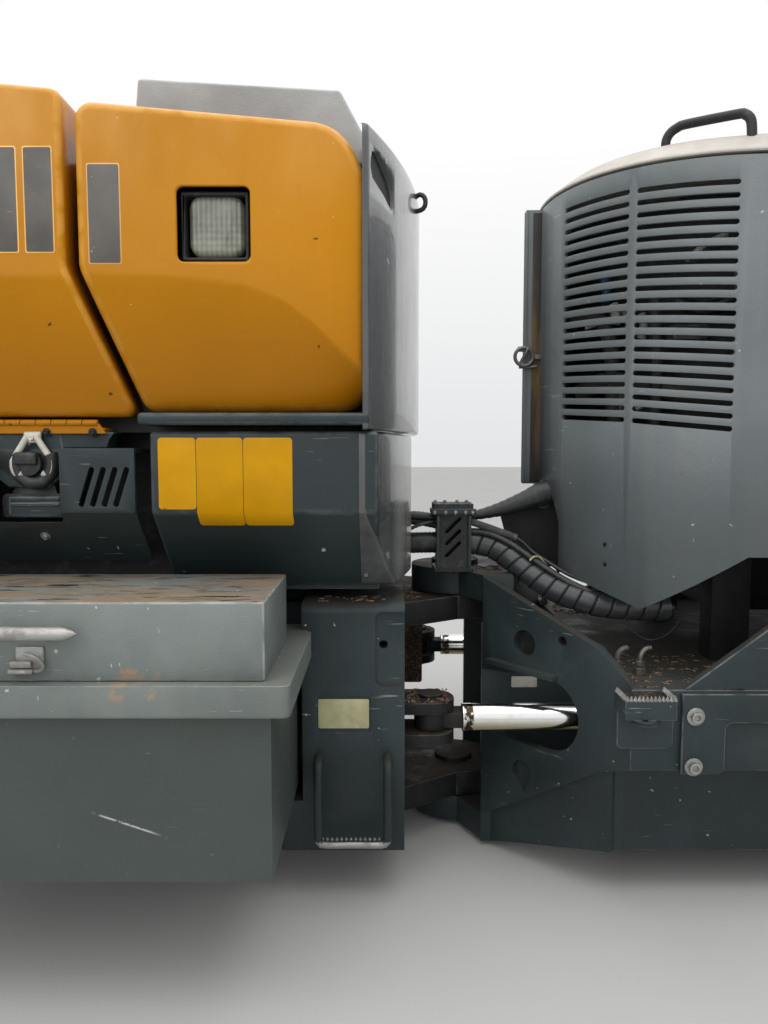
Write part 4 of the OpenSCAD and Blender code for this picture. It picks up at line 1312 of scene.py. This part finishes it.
class BuildLabels(bpy.types.Operator):
    """Lays the blank yellow labels and the blank plate"""
    bl_idname = "section.labels"
    bl_label = "Blank labels"

    def execute(self, context):
        for side, sign in SIDES:
            for name, x0, x1, z0, z1 in (("a", -558, -493.5, 680, 803), ("b", -492.5, -413, 650, 803),
                                         ("c", -412, -328, 650, 803)):
                label = rounded_plate("label_%s_%s" % (name, side), at(x0, PANEL_FACE, z0),
                                      at(x1, PANEL_FACE, z1), 0.0008, 0.006, 0.0002)
                fold_under(label, at(0, PANEL_FACE, PANEL_FOLD), PANEL_SLOPE)
                dress_side(label, sign, "label", "cab_side")
            plate = rounded_plate("blank_plate_" + side, at(-298, -396, 244), at(-200, -396, 302),
                                  0.0015, 0.003, 0.0004)
            dress_side(plate, sign, "plate", "cab_side")
            tag = rounded_plate("blank_tag_" + side, at(108, -200, 264), at(164, -200, 288), 0.0015,
                                0.002, 0.0004)
            dress_side(tag, sign, "bone", "engine_side")
        return {"FINISHED"}


class BuildHoses(bpy.types.Operator):
    """Wraps the hoses over the joint and finishes their tower"""
    bl_idname = "section.hoses"
    bl_label = "Hoses"

    def execute(self, context):
        pitch = context.scene.section_sizes.wrap_pitch
        main = [(18, -104, 572), (45, -108, 571), (80, -118, 562), (112, -138, 541),
                (146, -160, 514), (184, -186, 489), (228, -210, 470), (280, -232, 457),
                (340, -240, 451), (400, -240, 450), (430, -240, 450)]

        def seam(run, turn):
            """The groove between two turns of the wrap, each turn a little conical."""
            deep, wide, cone = 0.0035, 0.0016, 0.0006
            phase = (run / pitch + turn / (2 * math.pi)) % 1
            near = min(phase, 1 - phase) * pitch
            return -deep * math.exp(-(near / wide) ** 2) - cone * phase
        hose = swept("main_hose_wrapped", route(main), 0.0285, 44, 0.0016, seam)
        mark_seam(hose, route(main), 0.0272)
        dress(hose, "wrap", "engine_side")
        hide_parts("main_hose")
        upper = [(20, -94, 630), (45, -92, 634), (95, -88, 646), (150, -82, 664), (207, -74, 684),
                 (280, -66, 692), (430, -60, 690)]
        hose = swept("upper_hose_smooth", route(upper),
                     lambda share: 0.0095 + 0.019 * min(1, share / 0.45) ** 1.2, 28, 0.006,
                     lambda run, turn: 0.0006 * math.sin(run * 700))
        dress(hose, "rubber", "engine_side")
        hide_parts("upper_hose")
        self.over_joint()
        self.small_lines()
        self.tower()
        return {"FINISHED"}

    def over_joint(self):
        """The lengths of hose that bend as the joint steers."""
        stub = swept("hose_stub", route([(-181, -100, 566), (-165, -100, 566), (-143, -100, 566)]),
                     0.0278, 28, 0.004, lambda run, turn: 0.0012 * (math.sin(run * 520) > 0.4))
        dress(stub, "rubber", "cab_side")
        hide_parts("main_hose_cab")
        lines = []
        for path, radius in (
                ([(-158, -100, 566), (-126, -100, 569), (-96, -101, 571), (-50, -104, 572)], 0.024),
                ([(-176, -118, 628), (-136, -112, 634), (-96, -108, 634), (-52, -104, 628)], 0.0095),
                ([(-176, -94, 612), (-136, -94, 619), (-96, -94, 620), (-52, -94, 612)], 0.0095),
                ([(-176, -124, 560), (-136, -126, 590), (-96, -124, 612), (-52, -118, 622)],
                 0.004)):
            lines.append(swept("line", route(path), radius, 18, 0.004,
                               lambda run, turn: 0.0007 * math.sin(run * 900)))
        lines = joined("joint_hoses", lines)
        dress(lines, "rubber")
        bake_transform(lines, "cab_side", "engine_side", start=at(-146, -100, 590), end=at(-58, -100, 590))

    def small_lines(self):
        """The sleeved line, the thin lines, the tie and the apron behind the hoses."""
        sleeve = swept("sleeved_line", route([(18, -132, 624), (70, -134, 606), (126, -138, 586)]),
                       0.0082, 16, 0.0011, lambda run, turn: 0.001 * math.sin(run * 1900 + turn))
        dress(sleeve, "sleeve", "engine_side")
        thin = [swept("thin", route(path), radius, 10) for path, radius in (
            ([(122, -138, 587), (140, -142, 576), (160, -150, 556), (190, -168, 536),
              (240, -196, 508), (330, -216, 480), (420, -216, 468)], 0.0042),
            ([(18, -124, 600), (60, -132, 596), (110, -150, 574), (160, -178, 540),
              (220, -214, 502), (280, -238, 478), (360, -250, 462), (440, -250, 450)], 0.0075),
            ([(330, -262, 430), (352, -270, 402), (384, -276, 388), (424, -272, 402),
              (452, -262, 430)], 0.0018))]
        dress(joined("thin_lines", thin), "rubber", "engine_side")
        tie = swept("tie", route([(146, -190, 542), (156, -186, 550), (170, -180, 548),
                                  (180, -174, 536), (186, -170, 530)]), 0.0022, 8)
        dress(tie, "tie", "engine_side")
        rings, thick = [], Vector((0, 0.004, 0))
        last = 12
        for i in range(last + 1):
            share = i / last
            wave = 6 * math.sin(i * 1.9) + 4 * math.sin(i * 4.1)
            top = at(96 + 150 * share, -52 + wave, 652 + 8 * math.sin(i * 1.3))
            low = at(120 + 128 * share, -58 - wave, 560 - 66 * share + 5 * math.sin(i * 2.7))
            rings.append([top, low, low + thick, top + thick])
        apron = skin("rubber_apron", rings, angle=60)
        dress(apron, "iron", "engine_side")

    def tower(self):
        """The slotted tower with its cap, ribs and bolts, and the elbows on the frame."""
        rounded_copy("hose_tower", "black", 0.002)
        ribs = [rounded_box("rib", at(x, -146, 519), at(x + 7, -138, 636), 0.0015)
                for x in (-54, 17)]
        ribs.append(rounded_box("lip", at(-66, -150, 640), at(34, -146, 652), 0.0015))
        dress(joined("tower_ribs", ribs), "housing", "engine_side")
        cap = [facing(at(x, y, 662), (0, 0, 1)) for x in (-52, -30, -2, 20) for y in (-138, -72)]
        cap += [facing(at(x, -148, 645), (0, -1, 0)) for x in (-58, -34, -12, 10, 26)]
        dress(copies(bolt_model(0.006), "tower_bolts", cap), "steel", "engine_side")
        parts = []
        for _, sign in SIDES:
            for x in (292, 338):
                path = [(x, -350, 337), (x, -350, 362), (x + 1, -350, 374), (x + 6, -348, 383),
                        (x + 14, -346, 388), (x + 22, -344, 389)]
                parts.append(swept("elbow", route(path, sign), 0.0056, 16))
                for z, radius, depth in ((344, 0.011, 0.014), (360, 0.0095, 0.01)):
                    nut = cylinder("nut", 6, radius, depth, at(x, sign * -350, z))
                    round_edges(nut, 0.001, 40, 2)
                    parts.append(nut)
        elbows = dress(joined("hose_elbows", parts), "dull", "engine_side")
        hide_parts("hose_fittings")


class BuildCylinders(bpy.types.Operator):
    """Finishes the steering cylinders and their chromed rods"""
    bl_idname = "section.cylinders"
    bl_label = "Steering cylinders"

    def execute(self, context):
        for side, _ in SIDES:
            rounded_copy("barrel_" + side, "iron", 0.003)
            rod = rounded_copy("rod_" + side, "iron", 0.002)
            two_tone(rod, "chrome", lambda middle: middle.x > at(-9, 0, 0).x)
        return {"FINISHED"}


class BuildHood(bpy.types.Operator):
    """Finishes the hood's louvred doors, roof, handles and hinges"""
    bl_idname = "section.hood"
    bl_label = "Engine hood"

    def execute(self, context):
        for side, _ in SIDES:
            rounded_copy("hood_door_" + side, "hood", 0.0018, angle=40, segments=2)
        self.roof()
        self.inside()
        rounded_copy("hood_frame", "frame", 0.003)
        rounded_copy("engine_block", "iron", 0.006)
        rounded_copy("door_hinges", "frame", 0.0015)
        self.trim()
        return {"FINISHED"}

    def roof(self):
        """The roof with its sloping rim, and the two bent handles on it."""
        # Each level is drawn in and raised by so much
        levels = ((6, 0), (1, 0.5), (0, 3), (1, 6), (6, 9), (30, 30), (52, 47), (60, 51), (72, 54),
                  (120, 58), (220, 61), (340, 62))
        roof = skin("hood_roof_finished", [hood_ring(*level) for level in levels], angle=20)
        dress(roof, "roof", "engine_side")
        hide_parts("hood_roof")
        made = []
        for side, sign in SIDES:
            path = [(383, -284, 1340), (383, -284, 1380), (385, -285, 1392), (391, -289, 1402),
                    (401, -296, 1408), (414, -307, 1410), (484, -368, 1403), (494, -376, 1400),
                    (501, -382, 1392), (504, -385, 1380), (505, -387, 1350), (505, -387, 1330)]
            made.append(swept("handle_" + side, route(path, sign), 0.009, 18))
        handles = dress(joined("roof_handles_bent", made), "black", "engine_side")
        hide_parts("roof_handles")

    def inside(self):
        """What shows through the louvres: a black sheet of painted shade for the dark engine bay, with pipes
        and brackets before it.
        """
        ring = [(640, -330), (470, -262), (352, -150), (272, 0), (268, 120), (300, 240),
                (352, 330), (440, 396)]
        back = [(x + 8, y + 4) for x, y in reversed(ring)]
        # Painted shade: a black sheet behind the louvres stands for the dark inside of the hood
        shade_sheet = column("inner_shade_sheet", ring + back, 620, 1296)
        dress(shade_sheet, "black", "engine_side")
        pipes = []
        for finish, radius, path in (
                ("engine", 0.016, [(246, -104, 1060), (270, -130, 1078), (300, -150, 1062),
                                   (318, -170, 1000), (322, -176, 900), (330, -180, 800)]),
                ("engine", 0.012, [(376, -262, 1090), (380, -262, 1040), (384, -264, 940),
                                   (380, -270, 830)]),
                ("bone", 0.006, [(426, -296, 1156), (459, -300, 1183), (500, -306, 1204)]),
                ("bone", 0.011, [(318, -178, 1092), (322, -180, 1080), (324, -182, 1062)]),
                ("bone", 0.009, [(362, -232, 1062), (366, -236, 1040), (362, -232, 1012)]),
                ("bone", 0.005, [(270, -140, 1048), (300, -160, 1056), (330, -190, 1052)]),
                ("bone", 0.005, [(560, -346, 1120), (572, -350, 1108), (574, -350, 1090)]),
                ("bone", 0.007, [(344, -214, 884), (356, -226, 878), (362, -232, 866)]),
                ("engine", 0.02, [(262, -120, 905), (310, -160, 930), (372, -224, 918),
                                  (440, -276, 896), (560, -330, 876)]),
                ("rubber", 0.014, [(420, -270, 1080), (470, -300, 1060), (540, -330, 1096),
                                   (600, -340, 1150)]),
                ("deep_blue", 0.01, [(300, -166, 1150), (306, -170, 1128), (304, -168, 1096)]),
                ("steel", 0.006, [(330, -190, 1086), (342, -196, 1060), (346, -200, 1010)])):
            pipe = swept("inner_pipe_%d" % len(pipes), route(path), radius, 12, 0.01)
            pipes.append(dress(pipe, finish, "engine_side"))
        blocks = [rounded_box("block", at(*low), at(*high), 0.006) for low, high in (
            ((400, -310, 1000), (470, -262, 1030)), ((500, -356, 900), (610, -320, 1010)),
            ((330, -200, 850), (400, -170, 930)), ((500, -350, 1080), (560, -322, 1130)))]
        dress(joined("inner_blocks", blocks), "engine", "engine_side")

    def trim(self):
        """The rusty strip along the doors' seam, the ring latch and small screws."""
        for side, sign in SIDES:
            strip = rounded_box("seam_strip_" + side, at(177, -11, 706), at(202, -9, 1332), 0.001)
            lip = rounded_box("seam_lip_" + side, at(160, -11.5, 704), at(166, -9, 1338), 0.001)
            dress_side(strip, sign, "seam", "door_" + side)
            dress_side(lip, sign, "hood", "door_" + side)
        size = 21
        ring = [at(157 + size * math.cos(turn), -24, 1000 + size * math.sin(turn))
                for turn in np.linspace(0, 2 * math.pi, 30)]
        parts = [swept("ring", ring, 0.0042, 10, 0.003),
                 rounded_box("arm", at(172, -22, 994), at(206, -15, 1006), 0.002),
                 rounded_box("hasp", at(143, -22, 1012), at(170, -14, 1024), 0.002),
                 swept("bar", route([(148, -25, 984), (158, -27, 1002), (166, -25, 1018)]),
                       0.004, 10),
                 swept("bolt", route([(146, -21, 976), (168, -21, 976), (188, -21, 978)]),
                       0.0035, 10)]
        latch = dress(joined("ring_latch", parts), "dull", "door_left")
        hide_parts("door_latch")
        for side, sign in SIDES:
            holes = []
            for x, z in ((284, 588), (285, 547)):
                y = -sign * math.sqrt(HOOD_RADIUS ** 2 - (HOOD_CENTRE - x) ** 2)
                holes.append(facing(at(x, y, z), (x - HOOD_CENTRE, y, 0)))
            screws = copies(bolt_model(0.0045), "door_screws_" + side, holes)
            dress(screws, "iron", "door_" + side)


def hood_ring(inset, rise):
    """One level of the roof: the hood's outline drawn in, raised towards the joint."""
    radius, half = HOOD_RADIUS - inset, HOOD_HALF - inset
    meet = math.asin(half / radius)
    arc = [(HOOD_CENTRE - radius * math.cos(turn), radius * math.sin(turn))
           for turn in np.linspace(-meet, meet, 90)]
    straight = [(x, -half) for x in np.linspace(1342 - inset * 0.2, arc[0][0] + 8, 12)]
    other = [(x, -y) for x, y in reversed(straight)]
    return [at(x, y, ROOF_EDGE + rise + max(0, ROOF_RISE_FROM - x) * ROOF_TILT)
            for x, y in straight + arc + other]


class BuildFasteners(bpy.types.Operator):
    """Bolts on the side plates, the panels and the housings"""
    bl_idname = "section.fasteners"
    bl_label = "Fasteners"

    def execute(self, context):
        front, slant = (0, -1, 0), (0, -0.712, -0.702)
        for name, radius, body, finish, places in (
                ("plate_bolts", 0.017, "engine_side", "steel",
                 [((406, -460, 290), front), ((405, -460, 194), front)]),
                ("panel_bolts", 0.009, "cab_side", "steel",
                 [((-774, -487, 630), slant), ((-1150, -487, 630), slant)]),
                ("housing_bolts", 0.007, "cab_side", "steel", [((-205, -404.5, 548), slant)])):
            where = []
            for _, sign in SIDES:
                for (x, y, z), way in places:
                    where.append(facing(at(x, y * sign, z), (way[0], way[1] * sign, way[2])))
            bolts = copies(bolt_model(radius, hexagon=name != "plate_bolts"), name, where)
            dress(bolts, finish, body)
        return {"FINISHED"}


class BuildDebris(bpy.types.Operator):
    """Scatters dry needles where they lie on the joint, and hangs the housing's small hook"""
    bl_idname = "section.debris"
    bl_label = "Needles and hook"

    def execute(self, context):
        chance = random.Random(7)
        # Each place is its X and Y range, its height and how many needles lie there
        for name, body, places in (
                ("needles_cab", "cab_side", (
                    (-125, -92, -148, -60, 449.2, 40),
                    (-124, -40, -344, -256, 277.2, 110), (-124, -40, 256, 344, 277.2, 50),
                    (-300, -160, -390, -330, 489.4, 30))),
                ("needles_engine", "engine_side", (
                    (300, 640, -440, -200, 337.2, 260), (300, 640, 200, 440, 337.2, 160),
                    (268, 366, -488, -458, 311.2, 60), (268, 366, 458, 488, 311.2, 30),
                    (-50, 90, -150, -60, 510.2, 60)))):
            corners, faces = [], []
            for x0, x1, y0, y1, z, count in places:
                for _ in range(count):
                    middle = at(chance.uniform(x0, x1), chance.uniform(y0, y1), z)
                    turn = chance.uniform(0, math.pi)
                    long = chance.uniform(0.004, 0.017)
                    wide = chance.uniform(0.0006, 0.0014) if chance.random() < 0.8 else 0.0035
                    tall = chance.uniform(0.001, 0.003)
                    along = Vector((math.cos(turn), math.sin(turn), chance.uniform(-0.1, 0.25)))
                    along = along * long / 2
                    across = Vector((-math.sin(turn), math.cos(turn), 0)) * wide / 2
                    first = len(corners)
                    for end in (-1, 1):
                        base = middle + along * end
                        base.z = max(base.z, middle.z)
                        corners += [base - across, base + across, base + Vector((0, 0, tall))]
                    faces += [tuple(first + i for i in f) for f in (
                        (0, 2, 1), (3, 4, 5), (0, 1, 4, 3), (1, 2, 5, 4), (2, 0, 3, 5))]
            dress(surface(name, corners, faces), "needles", body)
        hook = swept("housing_hook", route([
            (-112, -196, 1304), (-96, -204, 1311), (-86, -208, 1302), (-86, -208, 1287),
            (-94, -206, 1279), (-112, -200, 1277)]), 0.005, 12)
        dress(hook, "black", "cab_side")
        return {"FINISHED"}


class BuildStage(bpy.types.Operator):
    """Sets the floor, the studio light and the camera"""
    bl_idname = "section.stage"
    bl_label = "Stage"

    def execute(self, context):
        scene = context.scene
        low = cad_box[0].z - scene.section_sizes.floor_gap
        alone()
        bpy.ops.mesh.primitive_plane_add(size=60, location=(1.35, 8, low))
        floor = settle(context.object)
        floor.name = "studio_floor"
        ground = Finish("studio_floor", rough=0.85)
        ground.set(base_color=ground.mix(ground.noise(0.8, 4), (0.46, 0.46, 0.45), (0.52, 0.52, 0.51)))
        floor.data.materials.append(ground.material)
        world = bpy.data.worlds.new("studio_light")
        scene.world = world
        world.use_nodes = True
        tree = world.node_tree
        place = tree.nodes.new("ShaderNodeTexCoord")
        split = tree.nodes.new("ShaderNodeSeparateXYZ")
        ramp = tree.nodes.new("ShaderNodeValToRGB")
        tree.links.new(place.outputs["Generated"], split.inputs[0])
        tree.links.new(split.outputs["Z"], ramp.inputs[0])
        stops = ramp.color_ramp.elements
        stops[0].position, stops[0].color = 0.0, (0.78, 0.79, 0.8, 1)
        stops[1].position, stops[1].color = 0.35, (1, 1, 1, 1)
        back = tree.nodes["Background"]
        tree.links.new(ramp.outputs[0], back.inputs["Color"])
        back.inputs["Strength"].default_value = 1.0
        for name, spot, size, power, aim in (
                ("sky_panel", (1.2, -0.6, 4.2), 5.0, 130, (1.35, 0, 0.8)),
                ("front_panel", (-0.6, -3.6, 2.6), 2.5, 25, (1.2, 0, 0.8))):
            light = bpy.data.lights.new(name, "AREA")
            light.size = size
            light.energy = power
            lamp = bpy.data.objects.new(name, light)
            lamp.location = spot
            lamp.rotation_euler = (Vector(aim) - Vector(spot)).to_track_quat("-Z", "Y").to_euler()
            scene.collection.objects.link(lamp)
        camera = bpy.data.cameras.new("photo_camera")
        camera.lens = 27.04
        camera.sensor_width = 36
        view = bpy.data.objects.new("photo_camera", camera)
        view.location = (1.179, -1.85, 0.772)
        view.rotation_euler = (math.radians(90 - 4.61), 0, 0)
        scene.collection.objects.link(view)
        scene.camera = view
        scene.view_settings.view_transform = "Standard"
        return {"FINISHED"}


class SectionPanel(bpy.types.Panel):
    """Lists the steps that build the section"""
    bl_label = "Harvester centre section"
    bl_idname = "VIEW3D_PT_section"
    bl_space_type = "VIEW_3D"
    bl_region_type = "UI"
    bl_category = "Harvester"

    def draw(self, context):
        for operator in STEPS:
            self.layout.operator(operator.bl_idname)
        for group in (context.scene.section_sizes, context.scene.section_colours):
            for name in group.__annotations__:
                self.layout.prop(group, name)


STEPS = (MakeFinishes, BuildStage, BuildFrames, BuildGussets, BuildSteps, BuildToolboxes, BuildHousings,
         BuildCovers, BuildLamps, BuildLabels, BuildHoses, BuildCylinders, BuildHood,
         BuildFasteners, BuildDebris)
CLASSES = (SectionSizes, SectionColours) + STEPS + (SectionPanel,)


def register():
    for cls in CLASSES:
        bpy.utils.register_class(cls)
    bpy.types.Scene.section_sizes = bpy.props.PointerProperty(type=SectionSizes)
    bpy.types.Scene.section_colours = bpy.props.PointerProperty(type=SectionColours)


def unregister():
    del bpy.types.Scene.section_colours
    del bpy.types.Scene.section_sizes
    for cls in reversed(CLASSES):
        bpy.utils.unregister_class(cls)


def main():
    register()
    for step in STEPS:
        group, name = step.bl_idname.split(".")
        getattr(getattr(bpy.ops, group), name)()
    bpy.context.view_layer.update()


if __name__ == "__main__":
    main()
